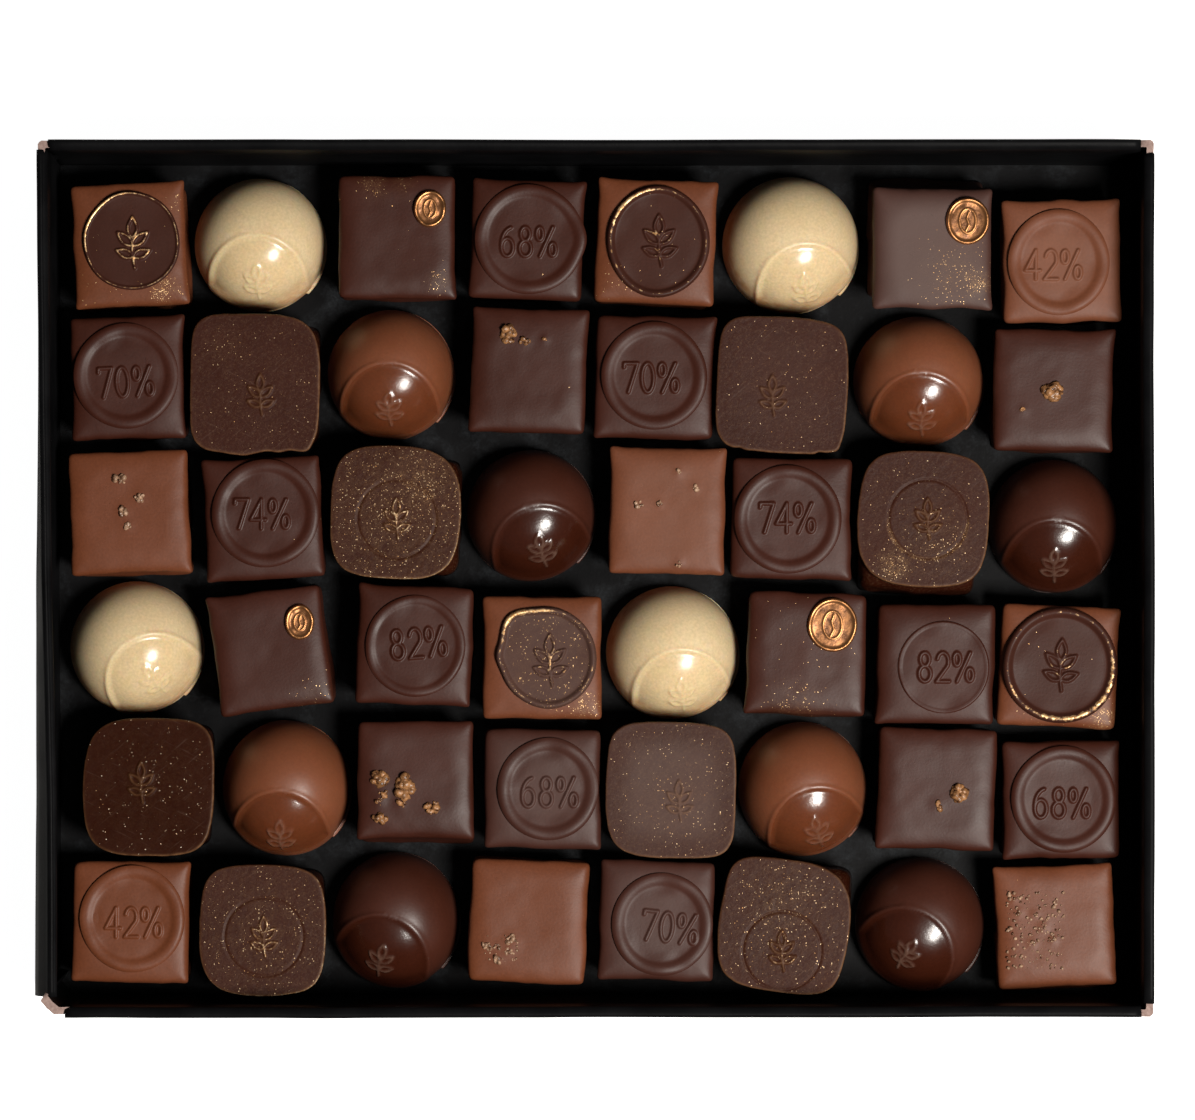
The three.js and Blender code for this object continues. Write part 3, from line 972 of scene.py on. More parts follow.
@dataclass
class Praline:
    """What every praline has: its row and column, what it is made of, its place and what lies on it."""

    spot: str
    place: Place
    kind: Kind = field(default=Kind.DARK, kw_only=True)
    dust: tuple[Dust, ...] = field(default=(), kw_only=True)
    # A veil over the top that is partly real bloom and partly a painted sheen.
    bloom: float = field(default=0.0, kw_only=True)

    @property
    def seed(self) -> int:
        """The seed of its unevenness, such as 104 in the first row and the fourth column."""
        return 100 * int(self.spot[1]) + int(self.spot[3])

    def named(self, what: str, kind: Kind | None = None) -> str:
        """Names one of its nodes."""
        return f"{self.spot}_{(kind or self.kind).word}_{what}"

    def add(self, what: str, skins: list[Skin], coat: bpy.types.Material, kind: Kind | None = None) -> None:
        """Adds one of its pieces, in place of the node of the same name.

        Args:
            what: The last word of the node's name.
            skins: The piece's shape.
            coat: Its finish.
            kind: What it is made of, where that isn't the praline's own.
        """
        node = self.named(what, kind)
        mounted(joined(node, skins, MARKS), node, (kind or self.kind).value, coat)

    def about(
        self, skin: Skin, seen: tuple[float, float], tilt: float = 0.0
    ) -> tuple[np.ndarray, np.ndarray]:
        """Reads a skin's points from the middle of what is drawn on it.

        Args:
            skin: The skin, in the tray.
            seen: The pixel of the photograph where the middle is seen.
            tilt: How far the drawing is turned.

        Returns:
            The points' places along x and along y.
        """
        x, y = pixel(*seen)
        return turned(skin.points[:, 0] - x, skin.points[:, 1] - y, -tilt)

    def dusted(self, skin: Skin, least: float | np.ndarray = 0.0) -> None:
        """Marks where gold dust lies on a skin that stands in the tray, and a pale veil that is partly real
        bloom and partly a painted sheen.

        Args:
            skin: The skin.
            least: The dust that lies there at least.
        """
        x, y = skin.points[:, 0] - self.place.x, skin.points[:, 1] - self.place.y
        amount = np.zeros(len(x)) + least
        for patch in self.dust:
            amount = np.maximum(amount, patch.amount * bell(np.hypot(x - patch.x, y - patch.y), patch.reach))
        skin.mark("dust", amount)
        skin.mark("bloom", self.bloom * (1.15 - 0.8 * step(0.42, 0.8, skin.share)))

    def square_body(self, steps: int) -> Skin:
        """Makes an enrobed square: soft upper edges, small nibs at its corners and an uneven foot.

        Args:
            steps: Squares along a side of its grid.

        Returns:
            The skin, standing in the tray.
        """
        rng = np.random.default_rng(self.seed)
        grain = Grain(self.seed)
        skin = Skin(steps, SQUARE_POWER)
        softer = skin.way / ((np.abs(skin.way) ** INNER_POWER).sum(axis=1) ** (1 / INNER_POWER))[:, None]
        skin.way += (softer - skin.way) * (1.0 - step(0.56, 0.84, skin.share))[:, None]
        skin.fill(SQUARE_SECTION, self.place.half)
        points = skin.points
        side = step(0.68, 0.82, skin.share)
        corner = np.abs(skin.way[:, 0] * skin.way[:, 1])
        corner = (corner / corner.max()) ** 14 * step(0.66, 0.78, skin.share)
        quarter = (skin.angle // (np.pi / 2)).astype(int) % 4
        nib = rng.uniform(-0.2, 0.8, 4)[quarter] * corner * bell(points[:, 2] - 13.4, 1.2)
        edge = (1.0 - corner) * bell(points[:, 2] - 13.6, 2.2) * side * 0.12
        low = step(5.5, 0.0, points[:, 2]) * side
        round_foot = np.stack([skin.angle * 2.2, low * 0.7, low * 0 + 3.3], axis=1)
        swell = FOOT_BULGE * low * (0.5 + 0.9 * grain.at(round_foot, 1.0))
        wave = side * (0.24 * grain.at(points, 6.0) + 0.1 * grain.at(points, 2.2))
        points[:, :2] += unit(skin.way) * (nib - edge + swell + wave)[:, None]
        top = 1.0 - step(0.74, 0.9, skin.share)
        uneven = 0.1 * grain.at(points, 7.0) + 0.03 * grain.at(points, 2.4)
        points[:, 2] += top * uneven + 0.06 * corner * top
        skin.points = self.place.stand(points, SQUARE_HIGH)
        self.dusted(skin)
        return skin

    def build(self, finishes: Finishes) -> None:
        """Builds the praline's pieces."""
        raise NotImplementedError


@dataclass(frozen=True)
class DiscShape:
    """The form of a pressed round: the heights of its rim and its field above the square, its rim's width,
    how far it wobbles, and its bulges, each an angle, its spread and how far it stands out."""

    rim: float
    field: float
    rim_wide: float
    wobble: float
    bulges: tuple[tuple[float, float, float], ...] = ()


def disc_skin(disc: Round, shape: DiscShape, steps: int, seed: int) -> Skin:
    """Makes a pressed round with a rolled rim about a lower field.

    Args:
        disc: Where it is.
        shape: Its form.
        steps: Squares along a side of its grid.
        seed: Of its unevenness.

    Returns:
        The skin, in the tray.
    """
    rng = np.random.default_rng(seed)
    skin = Skin(steps, 2.0)
    w, r, f = shape.rim_wide, shape.rim, shape.field
    section = (
        (0.72, w * 1.45, f),
        (0.77, w * 1.12, f + (r - f) * 0.1),
        (0.82, w * 0.84, f + (r - f) * 0.66),
        (0.865, w * 0.62, r * 0.98),
        (0.9, w * 0.42, r),
        (0.93, w * 0.22, r * 0.9),
        (0.95, w * 0.08, r * 0.62),
        (0.975, 0.0, r * 0.3),
        (1.0, 0.12, -0.6),
    )
    skin.fill(section, (disc.wide / 2, disc.deep / 2))
    waves = [rng.uniform(-1, 1) * np.cos(n * skin.angle + rng.uniform(0, 6.3)) / n for n in range(2, 7)]
    wobble = sum(waves) * shape.wobble
    for at, spread, far in shape.bulges:
        wobble = wobble + far * bell(apart(skin.angle, at), spread)
    rim = step(0.55, 0.8, skin.share)
    skin.points[:, :2] += unit(skin.way) * (wobble * rim)[:, None]
    grain = Grain(seed + 7)
    skin.points[:, 2] += 0.06 * grain.at(skin.points, 4.5) * (1.0 - step(0.95, 1.0, skin.share))
    skin.points[:, 2] += 0.16 * rim * (1 - step(0.9, 1.0, skin.share)) * grain.at(circle(skin.angle), 0.5)
    skin.points += (disc.x, disc.y, FOOT + SQUARE_HIGH)
    return skin


STAMP = DiscShape(0.66, 0.2, 2.5, 0.12)


@dataclass
class Numbered(Praline):
    """A square with a pressed round that carries a plain number."""

    disc: Round
    number: str
    seen: tuple[float, float]
    tilt: float = 0.0
    shape: DiscShape = STAMP
    figure: tuple[float, float] = (3.35, 5.9)

    def build(self, finishes: Finishes) -> None:
        """Builds the square and its round as one piece."""
        body = self.square_body(66)
        disc = disc_skin(self.disc, self.shape, 130, self.seed + 1)
        strokes = number_strokes(self.number, *self.figure)
        disc.points[:, 2] += 0.34 * strokes.raised(*self.about(disc, self.seen, self.tilt), 0.12, 0.52)
        self.dusted(disc)
        self.add("numbered", [body, disc], finishes.chocolate[self.kind.word])


@dataclass
class Sealed(Praline):
    """A milk square that carries a dark seal with a gilt rim and a gilt sprig.

    More gilt lies on the rim about one angle: that angle, its spread and how much wider the gilt is there.
    """

    disc: Round
    seen: tuple[float, float]
    shape: DiscShape
    rim_gilt: float
    sprig_gilt: float
    gilt_more: tuple[float, float, float] = (135.0, 40.0, 0.04)
    powder: float = 0.1
    tilt: float = 0.0
    sprig: float = 5.2
    kind: Kind = field(default=Kind.MILK, kw_only=True)

    def build(self, finishes: Finishes) -> None:
        """Builds the square and its seal, two pieces."""
        self.add("square", [self.square_body(96)], finishes.chocolate["milk"])
        disc = disc_skin(self.disc, self.shape, 140, self.seed + 1)
        stroke = sprig_strokes(self.sprig).raised(*self.about(disc, self.seen, self.tilt), 0.1, 0.48)
        disc.points[:, 2] += 0.42 * stroke + 0.15
        at, spread, more = self.gilt_more
        near = bell(apart(disc.angle, at), spread)
        crest = bell(disc.share - RIM_SHARE, 0.04 + more * near)
        disc.mark("gilt", np.maximum(crest * (self.rim_gilt + 0.25 * near), stroke * self.sprig_gilt))
        for mark in ("dust", "bloom"):
            disc.mark(mark, np.full(len(stroke), self.powder))
        self.add("seal", [disc], finishes.chocolate["dark_seal"], Kind.DARK)


@dataclass
class Gilded(Praline):
    """A dark square with a small gilded seal near one corner."""

    disc: Round
    shape: DiscShape = DiscShape(0.95, 0.6, 0.9, 0.12)

    def build(self, finishes: Finishes) -> None:
        """Builds the square and its seal, two pieces."""
        self.add("square", [self.square_body(110)], finishes.chocolate["dark"])
        disc = disc_skin(self.disc, self.shape, 72, self.seed + 1)
        x, y = disc.points[:, 0] - self.disc.x, disc.points[:, 1] - self.disc.y
        stroke = bean_strokes(min(self.disc.wide, self.disc.deep) * 0.3).raised(x, y, 0.08, 0.36)
        disc.points[:, 2] += 0.16 * stroke + 0.15
        disc.mark("gilt", 0.35 + 0.5 * bell(disc.share - RIM_SHARE, 0.08) + 0.3 * stroke)
        self.add("seal", [disc], finishes.gilt, Kind.GILT)


@dataclass
class Sprinkled(Praline):
    """A square with crumbs on it: caramel on dark chocolate, flakes of salt on milk chocolate.

    A crumb is its middle, its width and its depth. What is strewn is the left and the front of a patch, its
    width, its depth and how many grains lie on it.
    """

    crumbs: tuple[tuple[float, float, float, float], ...]
    strewn: tuple[float, float, float, float, int] = (0.0, 0.0, 0.0, 0.0, 0)

    def build(self, finishes: Finishes) -> None:
        """Builds the square and its crumbs, two pieces that stand for one node."""
        body = self.square_body(112)
        for x, y, wide, deep in self.crumbs:
            away = np.hypot(body.points[:, 0] - x, body.points[:, 1] - y)
            body.points[:, 2] += 0.12 * bell(away, (wide + deep) / 2.6)
        what = "salt" if self.kind is Kind.MILK else "crunch"
        self.add(what, [body], finishes.chocolate[self.kind.word])
        crumbs = self.crumb_object(self.named(what) + "_crumbs")
        mounted(crumbs, self.named(what), self.kind.value, finishes.crumbs[self.kind])

    def crumb_object(self, name: str) -> bpy.types.Object:
        """Makes each crumb as a cluster of uneven lumps, and the strewn grains.

        Args:
            name: The object's name.

        Returns:
            One object with every crumb of the praline.
        """
        rng = np.random.default_rng(self.seed + 40)
        grain = Grain(self.seed + 41)
        form = bmesh.new()
        top = FOOT + SQUARE_HIGH
        for x, y, wide, deep in self.crumbs:
            for _ in range(max(5, round(wide * deep * 2.6))):
                angle, far = rng.uniform(0, 2 * math.pi), math.sqrt(rng.uniform(0, 1)) * 0.4
                size = min(wide, deep) * rng.uniform(0.14, 0.31)
                middle = (
                    x + math.cos(angle) * far * wide,
                    y + math.sin(angle) * far * deep,
                    top + size * rng.uniform(0.1, 0.75),
                )
                where = Matrix.Translation(middle)
                bmesh.ops.create_icosphere(form, subdivisions=2, radius=size, matrix=where)
        left, low, wide, deep, count = self.strewn
        for _ in range(count):
            size = rng.uniform(0.14, 0.5) * rng.uniform(0.5, 1.0)
            middle = (left + wide * rng.uniform(0, 1), low + deep * rng.uniform(0, 1), top + size * 0.2)
            bmesh.ops.create_icosphere(form, subdivisions=1, radius=size, matrix=Matrix.Translation(middle))
        points = np.array([v.co for v in form.verts])
        push = 0.3 * grain.at(points, 0.7) + 0.16 * grain.at(points, 0.3)
        form.normal_update()
        for v, far in zip(form.verts, push):
            v.co = (v.co + v.normal * float(far) * 0.9) * MM
        return placed(name, form)


@dataclass
class Plated(Praline):
    """A square body under a wider moulded plate that carries a sprig, some inside a ring.

    The plate's corners swell by a share each, from the back right anticlockwise. A bite is an angle, its
    spread and how far the edge stands out there. The body stands aside from the plate's middle by its
    shift.
    """

    seen: tuple[float, float]
    corners: tuple[float, float, float, float]
    body_shift: tuple[float, float] = (0.0, 0.0)
    ring: bool = False
    ring_gold: float = 0.0
    edge_gilt: float = 0.0
    gloss: bool = False
    bites: tuple[tuple[float, float, float], ...] = ()
    sprig: float = 4.1

    def build(self, finishes: Finishes) -> None:
        """Builds the body and its plate as one piece."""
        grain = Grain(self.seed)
        body = Skin(48, 9.0)
        body.fill(PLATE_BODY_SECTION, (self.place.half[0] * 0.91, self.place.half[1] * 0.88))
        side = step(0.6, 0.7, body.share)
        swell = side * 0.5 * grain.at(body.points, 3.0)
        body.points[:, :2] += unit(body.way) * swell[:, None] + self.body_shift
        body.points = self.place.stand(body.points, PLATE_HIGH)
        # Glossy and darkened: a painted shade on the body under the plate.
        body.mark("polish_and_shade", np.ones(len(side)))
        plate = Skin(150, PLATE_POWER)
        swell = np.ones(len(plate.angle))
        for at, more in zip((45.0, 135.0, -135.0, -45.0), self.corners):
            swell += more * bell(apart(plate.angle, at), 17.0)
        plate.way *= swell[:, None]
        plate.fill(PLATE_SECTION, self.place.half)
        wave = grain.at(plate.points, 6.0) * 0.12 + grain.at(plate.points, 1.6) * 0.05
        for at, spread, far in self.bites:
            wave = wave + far * bell(apart(plate.angle, at), spread)
        plate.points[:, :2] += unit(plate.way) * (wave * step(0.7, 0.88, plate.share))[:, None]
        plate.points = self.place.stand(plate.points, PLATE_HIGH)
        x, y = self.about(plate, self.seen)
        flat = 1.0 - step(0.83, 0.875, plate.share)
        stroke = sprig_strokes(self.sprig).raised(x, y, 0.08, 0.36) * flat
        uneven = 0.05 * grain.at(plate.points, 8.0) + 0.015 * grain.at(plate.points, 0.9)
        plate.points[:, 2] += 0.34 * stroke + flat * uneven
        # Painted highlight: the plate's edge line and its sprig are paled, the edge most on the side towards
        # the light, where the edge gilt is also thickest.
        lit = 0.65 + 0.35 * np.cos(plate.angle + 0.9)
        strewn = np.zeros(len(x))
        gilt = self.edge_gilt * lit * bell(plate.share - PLATE_EDGE, 0.02)
        if self.ring:
            outside = np.hypot(x, y) - RING_RADIUS
            groove = bell(outside, 0.24)
            plate.points[:, 2] -= 0.2 * groove * flat
            gilt = np.maximum(gilt, groove * 0.3)
            strewn = self.ring_gold * bell(outside - 0.2, 0.42) * step(2.0, -3.0, y)
        self.dusted(plate, strewn)
        plate.mark("gilt", np.maximum(gilt, stroke * (0.2 + 0.5 * self.edge_gilt)))
        plate.mark("pale", stroke * 0.3 + 0.75 * lit * bell(plate.share - PLATE_EDGE, 0.022))
        self.add("plate", [body, plate], finishes.chocolate["dark_gloss" if self.gloss else "dark_plate"])


@dataclass
class Dome(Praline):
    """A dome on a thin foot, with a lens-shaped panel on one side that carries a faint sprig.

    The panel lies towards an angle, and its edge starts that far from the dome's middle.
    """

    towards: float
    edge: float
    sprig_turn: float = 0.0
    sprig: float = 3.7
    panel: float = 9.9

    def build(self, finishes: Finishes) -> None:
        """Builds the dome."""
        skin = Skin(112, 2.0)
        grain = Grain(self.seed)
        half_wide, half_deep = self.place.half
        lift = np.minimum(skin.share / 0.94, 1.0) * (math.pi / 2)
        far = DOME_SPREAD * np.sin(lift) ** DOME_POWER
        high = DOME_HIGH * np.maximum(np.cos(lift), 0.0) ** DOME_POWER
        foot = step(DOME_SHARE, 0.96, skin.share)
        lip = 0.02 + 0.16 * grain.at(circle(skin.angle) + 9.0, 0.4)
        lip = lip + 0.5 * bell((np.degrees(skin.angle) + 38.0) / 40.0, 1.0)
        far = far + (DOME_SPREAD - far + np.clip(lip, 0.0, 0.6) / half_wide) * foot
        low_part = np.interp(skin.share, (DOME_SHARE, 0.955, 0.975, 1.0), (1.2, 0.75, 0.5, 0.0))
        high = np.where(skin.share > DOME_SHARE, low_part, high)
        x, y = skin.way[:, 0] * far * half_wide, skin.way[:, 1] * far * half_deep
        cos, sin = math.cos(math.radians(self.towards)), math.sin(math.radians(self.towards))
        reach = self.edge + self.panel
        inside = self.panel - np.hypot(x - reach * cos, y - reach * sin)
        inside = np.minimum(inside, half_wide * 0.955 - np.hypot(x, y * half_wide / half_deep))
        aside = np.abs(y * cos - x * sin) / self.panel
        ridge = (0.12 + 0.2 * aside) * bell(inside + 0.1, 0.2 + 0.34 * aside) * step(0.6, 2.0, high)
        normal = unit(np.stack([x / half_wide**2, y / half_deep**2, high / DOME_HIGH**2], axis=1))
        middle = reach - 0.3
        sx, sy = turned(x - middle * cos, y - middle * sin, -self.sprig_turn)
        sprig = sprig_strokes(self.sprig).raised(sx * 0.85, sy * 1.1, 0.06, 0.34) * step(0.6, 1.2, inside)
        points = np.stack([x, y, high], axis=1)
        out = ridge - 0.32 * step(0.0, 1.1, inside) + 0.3 * sprig + 0.05 * grain.at(points, 7.0) * (1 - foot)
        points += normal * out[:, None]
        skin.points = self.place.stand(points, DOME_HIGH)
        skin.points[:, 2] = np.maximum(skin.points[:, 2], FOOT)
        # The panel is glossier and darkened, a painted shade in its recess.
        skin.mark("polish_and_shade", step(-0.1, 0.5, inside))
        if self.kind is Kind.WHITE:
            # Painted shade: a warm brown on the white dome's outer rings, strongest on the side away from the
            # light.
            shaded = 0.6 + 0.5 * np.cos(skin.angle - math.radians(205.0))
            skin.mark("pale", 2.4 * step(0.52, 0.92, skin.share) * shaded)
            name = "white"
        else:
            # Painted highlights along the sprig's lines.
            skin.mark("pale", 0.45 * sprig)
            name = self.kind.word + "_dome"
        self.add("dome", [skin], finishes.chocolate[name])


# The tray

TRAY_WIDE = 226.2
TRAY_DEEP = 177.8
TRAY_HIGH = 30.0
FLOOR_THICK = 1.4


@dataclass(frozen=True)
class Wall:
    """One wall of the tray, along its own length, with its outer face towards -X before it is turned.

    It runs from its start to its end and its foot leans in. Its crest is where its top is highest, as a share
    of its thickness, and its fold leans in by its tip at its start.
    """

    name: str
    seed: int
    lean: float
    turn: float
    x: float
    y: float
    start: float
    end: float
    thick: float = 2.3
    crest: float = 0.32
    tip: float = 0.0

    def build(self, finishes: Finishes) -> None:
        """Builds the wall as a tube round its section, closed at its ends, with marks for rubbed places."""
        form = bmesh.new()
        bmesh.ops.create_grid(form, x_segments=150, y_segments=44, size=1.0)
        flat = np.array([v.co[:2] for v in form.verts])
        flat /= np.abs(flat).max(axis=0)
        run = self.start + (flat[:, 0] + 1.0) / 2.0 * (self.end - self.start)
        top = TRAY_HIGH
        section = (
            (0.0, 0.9, 0.6),
            (0.06, 0.0, 0.6),
            (0.2, 0.0, 12.0),
            (0.34, 0.02, 25.0),
            (0.38, 0.0, top - 1.6),
            (0.4, 0.02, top - 0.9),
            (0.42, 0.12, top - 0.4),
            (0.44, 0.34, top - 0.12),
            (0.47, self.thick * self.crest, top),
            (0.51, self.thick * 0.55, top - 0.1),
            (0.55, self.thick * 0.78, top - 0.35),
            (0.58, self.thick * 0.94, top - 0.8),
            (0.62, self.thick, top - 1.6),
            (0.66, self.thick, 25.0),
            (0.72, 1.9, 20.0),
            (0.8, 1.85, 12.0),
            (0.94, 1.85, 0.6),
            (1.0, 0.9, 0.6),
        )
        across, height = through(section, (flat[:, 1] + 1.0) / 2.0).T
        grain = Grain(self.seed)
        where = np.stack([run, height * 0.6, across * 0.0], axis=1)
        bow = 0.16 * grain.at(where, 46.0) + 0.06 * grain.at(where, 11.0)
        across = across + bow + self.lean * (1.0 - height / top)
        inward = 1.0 - step(self.start, self.end, run)
        across = across + self.tip * inward * (step(25.5, top, height) - 0.3 * bell(height - 25.0, 2.6))
        ridge = step(top - 2.2, top - 0.2, height)
        height = height + ridge * (0.08 * grain.at(where + 50.0, 16.0) - 0.05)
        height = height - ridge * 0.35 * bell(np.minimum(run - self.start, self.end - run), 1.2)
        rubbed = ridge * (0.15 + 0.5 * np.maximum(grain.at(where * (1, 0.2, 1), 3.0), 0.0))
        px, py = turned(across, run, self.turn)
        layer = form.verts.layers.float.new("rubbed")
        for v, a, b, c, value in zip(form.verts, px + self.x, py + self.y, height, rubbed):
            v.co = Vector((a, b, c)) * MM
            v[layer] = float(value)
        bmesh.ops.remove_doubles(form, verts=form.verts, dist=1e-6)
        bmesh.ops.holes_fill(form, edges=[e for e in form.edges if e.is_boundary], sides=0)
        bmesh.ops.recalc_face_normals(form, faces=form.faces)
        mounted(placed(self.name, form), "card_tray", "black_card", finishes.card)


@dataclass(frozen=True)
class Tray:
    """The open tray of folded black card: its floor, four walls and the raw board at its corners.

    Each lean is how far the foot of a wall stands in from its top.
    """

    lean_back: float = 1.7
    lean_front: float = 1.2
    lean_left: float = 0.6
    lean_right: float = 0.4
    board_thick: float = 1.45

    def build(self, finishes: Finishes) -> None:
        """Builds every piece of the tray."""
        wide, deep = TRAY_WIDE / 2, TRAY_DEEP / 2
        walls = (
            Wall(
                "wall_left", 11, self.lean_left, 0.0, -wide, 0.0, 4.3 - deep, deep - 2.2, crest=0.5, tip=2.3
            ),
            Wall("wall_right", 12, self.lean_right, 180.0, wide, 0.0, 2.9 - deep, deep - 2.9),
            Wall("wall_back", 13, self.lean_back, -90.0, 0.0, deep, 2.4 - wide, wide - 2.8),
            Wall("wall_front", 14, self.lean_front, 90.0, 0.0, -deep, 2.7 - wide, wide - 5.8),
        )
        for wall in walls:
            wall.build(finishes)
        self.build_floor(finishes)
        corners = (
            ("back_left", (-1, 1), 0.35, 0.6, (3.0, 3.0), (self.lean_left, self.lean_back)),
            ("back_right", (1, 1), 0.2, 0.5, (3.4, 3.4), (self.lean_right, self.lean_back)),
            ("front_left", (-1, -1), 0.8, 2.6, (6.2, 5.0), (self.lean_left, self.lean_front), 1.5),
            ("front_right", (1, -1), 0.3, 0.6, (3.5, 3.5), (self.lean_right, self.lean_front)),
        )
        for corner in corners:
            self.build_corner(finishes, *corner)

    def build_floor(self, finishes: Finishes) -> None:
        """Builds the floor: paper over board, a little creased, under a pale bluish film that is partly dust
        and partly a painted sheen.
        """
        skin = Skin(100, 300.0)
        section = ((0.96, 1.2, FLOOR_THICK), (0.98, 0.3, FLOOR_THICK), (0.99, 0.2, 0.8), (1.0, 0.2, 0.0))
        skin.fill(section, (TRAY_WIDE / 2 - 1.0, TRAY_DEEP / 2 - 2.1))
        grain = Grain(31)
        top = 1.0 - step(0.955, 0.97, skin.share)
        crease = grain.at(skin.points, 26.0) * 0.08 - 0.1 * bell(grain.at(skin.points + 90.0, 33.0), 0.02)
        skin.points[:, 2] += top * (crease - 0.05)
        # The whole top carries the pale bluish film, partly dust and partly a painted sheen.
        skin.mark("dust_and_sheen", top)
        mounted(joined("tray_floor", [skin], ("dust_and_sheen",)), "card_tray", "black_card", finishes.card)

    def build_corner(
        self, finishes: Finishes, name: str, side: tuple[int, int], inset: float, blunt: float,
        leg: tuple[float, float], lean: tuple[float, float], tip: float = 0.0,
    ) -> None:
        """Builds the angled board in one corner, whose raw top shows where the folds stop short of it.

        Args:
            finishes: The finishes.
            name: Which corner it is, in words.
            side: Which corner it is, by the signs of its x and y.
            inset: How far it stands in from the tray's outline.
            blunt: How far its outer corner is cut off.
            leg: How far its arms reach along x and y.
            lean: How far its foot stands in from its top, along x and y.
            tip: How far its arm along y leans in.
        """
        form = bmesh.new()
        bmesh.ops.create_grid(form, x_segments=12, y_segments=1, size=1.0)
        for v in form.verts:
            t, gap = v.co.x, 0.0 if v.co.y > 0 else self.board_thick
            cut = blunt - 0.3 * gap
            first, last = max(-t - 0.12, 0.0) / 0.88, max(t - 0.12, 0.0) / 0.88
            bend = min(max(t / 0.24 + 0.5, 0.0), 1.0)
            x = -first * (leg[0] - blunt) - cut * (1.0 - bend) - tip * last
            y = -last * (leg[1] - blunt) - cut * bend
            v.co = Vector((x - gap, y - gap, TRAY_HIGH - 0.5 - 1.4 * max(first, last) ** 2))
        made = bmesh.ops.extrude_face_region(form, geom=list(form.faces))
        lower = [v for v in made["geom"] if isinstance(v, bmesh.types.BMVert)]
        bmesh.ops.translate(form, verts=lower, vec=(-lean[0], -lean[1], 0.0))
        for v in lower:
            v.co.z = 0.8
        for face in form.faces:
            face.material_index = 1 if min(v.co.z for v in face.verts) > TRAY_HIGH - 3 else 0
        for v in form.verts:
            v.co.x = side[0] * (TRAY_WIDE / 2 - inset + v.co.x)
            v.co.y = side[1] * (TRAY_DEEP / 2 - inset + v.co.y)
            v.co *= MM
        bmesh.ops.recalc_face_normals(form, faces=form.faces)
        board = placed("corner_" + name, form, smooth=False)
        mounted(board, "card_tray", "black_card", finishes.card, finishes.board)


# What is in the tray


def pixel(x: float, y: float) -> tuple[float, float]:
    """Gives the place on a praline's top that is seen at a pixel of the photograph."""
    scale = 0.2044
    return (x - 595.5) * scale, (578.5 - y) * scale


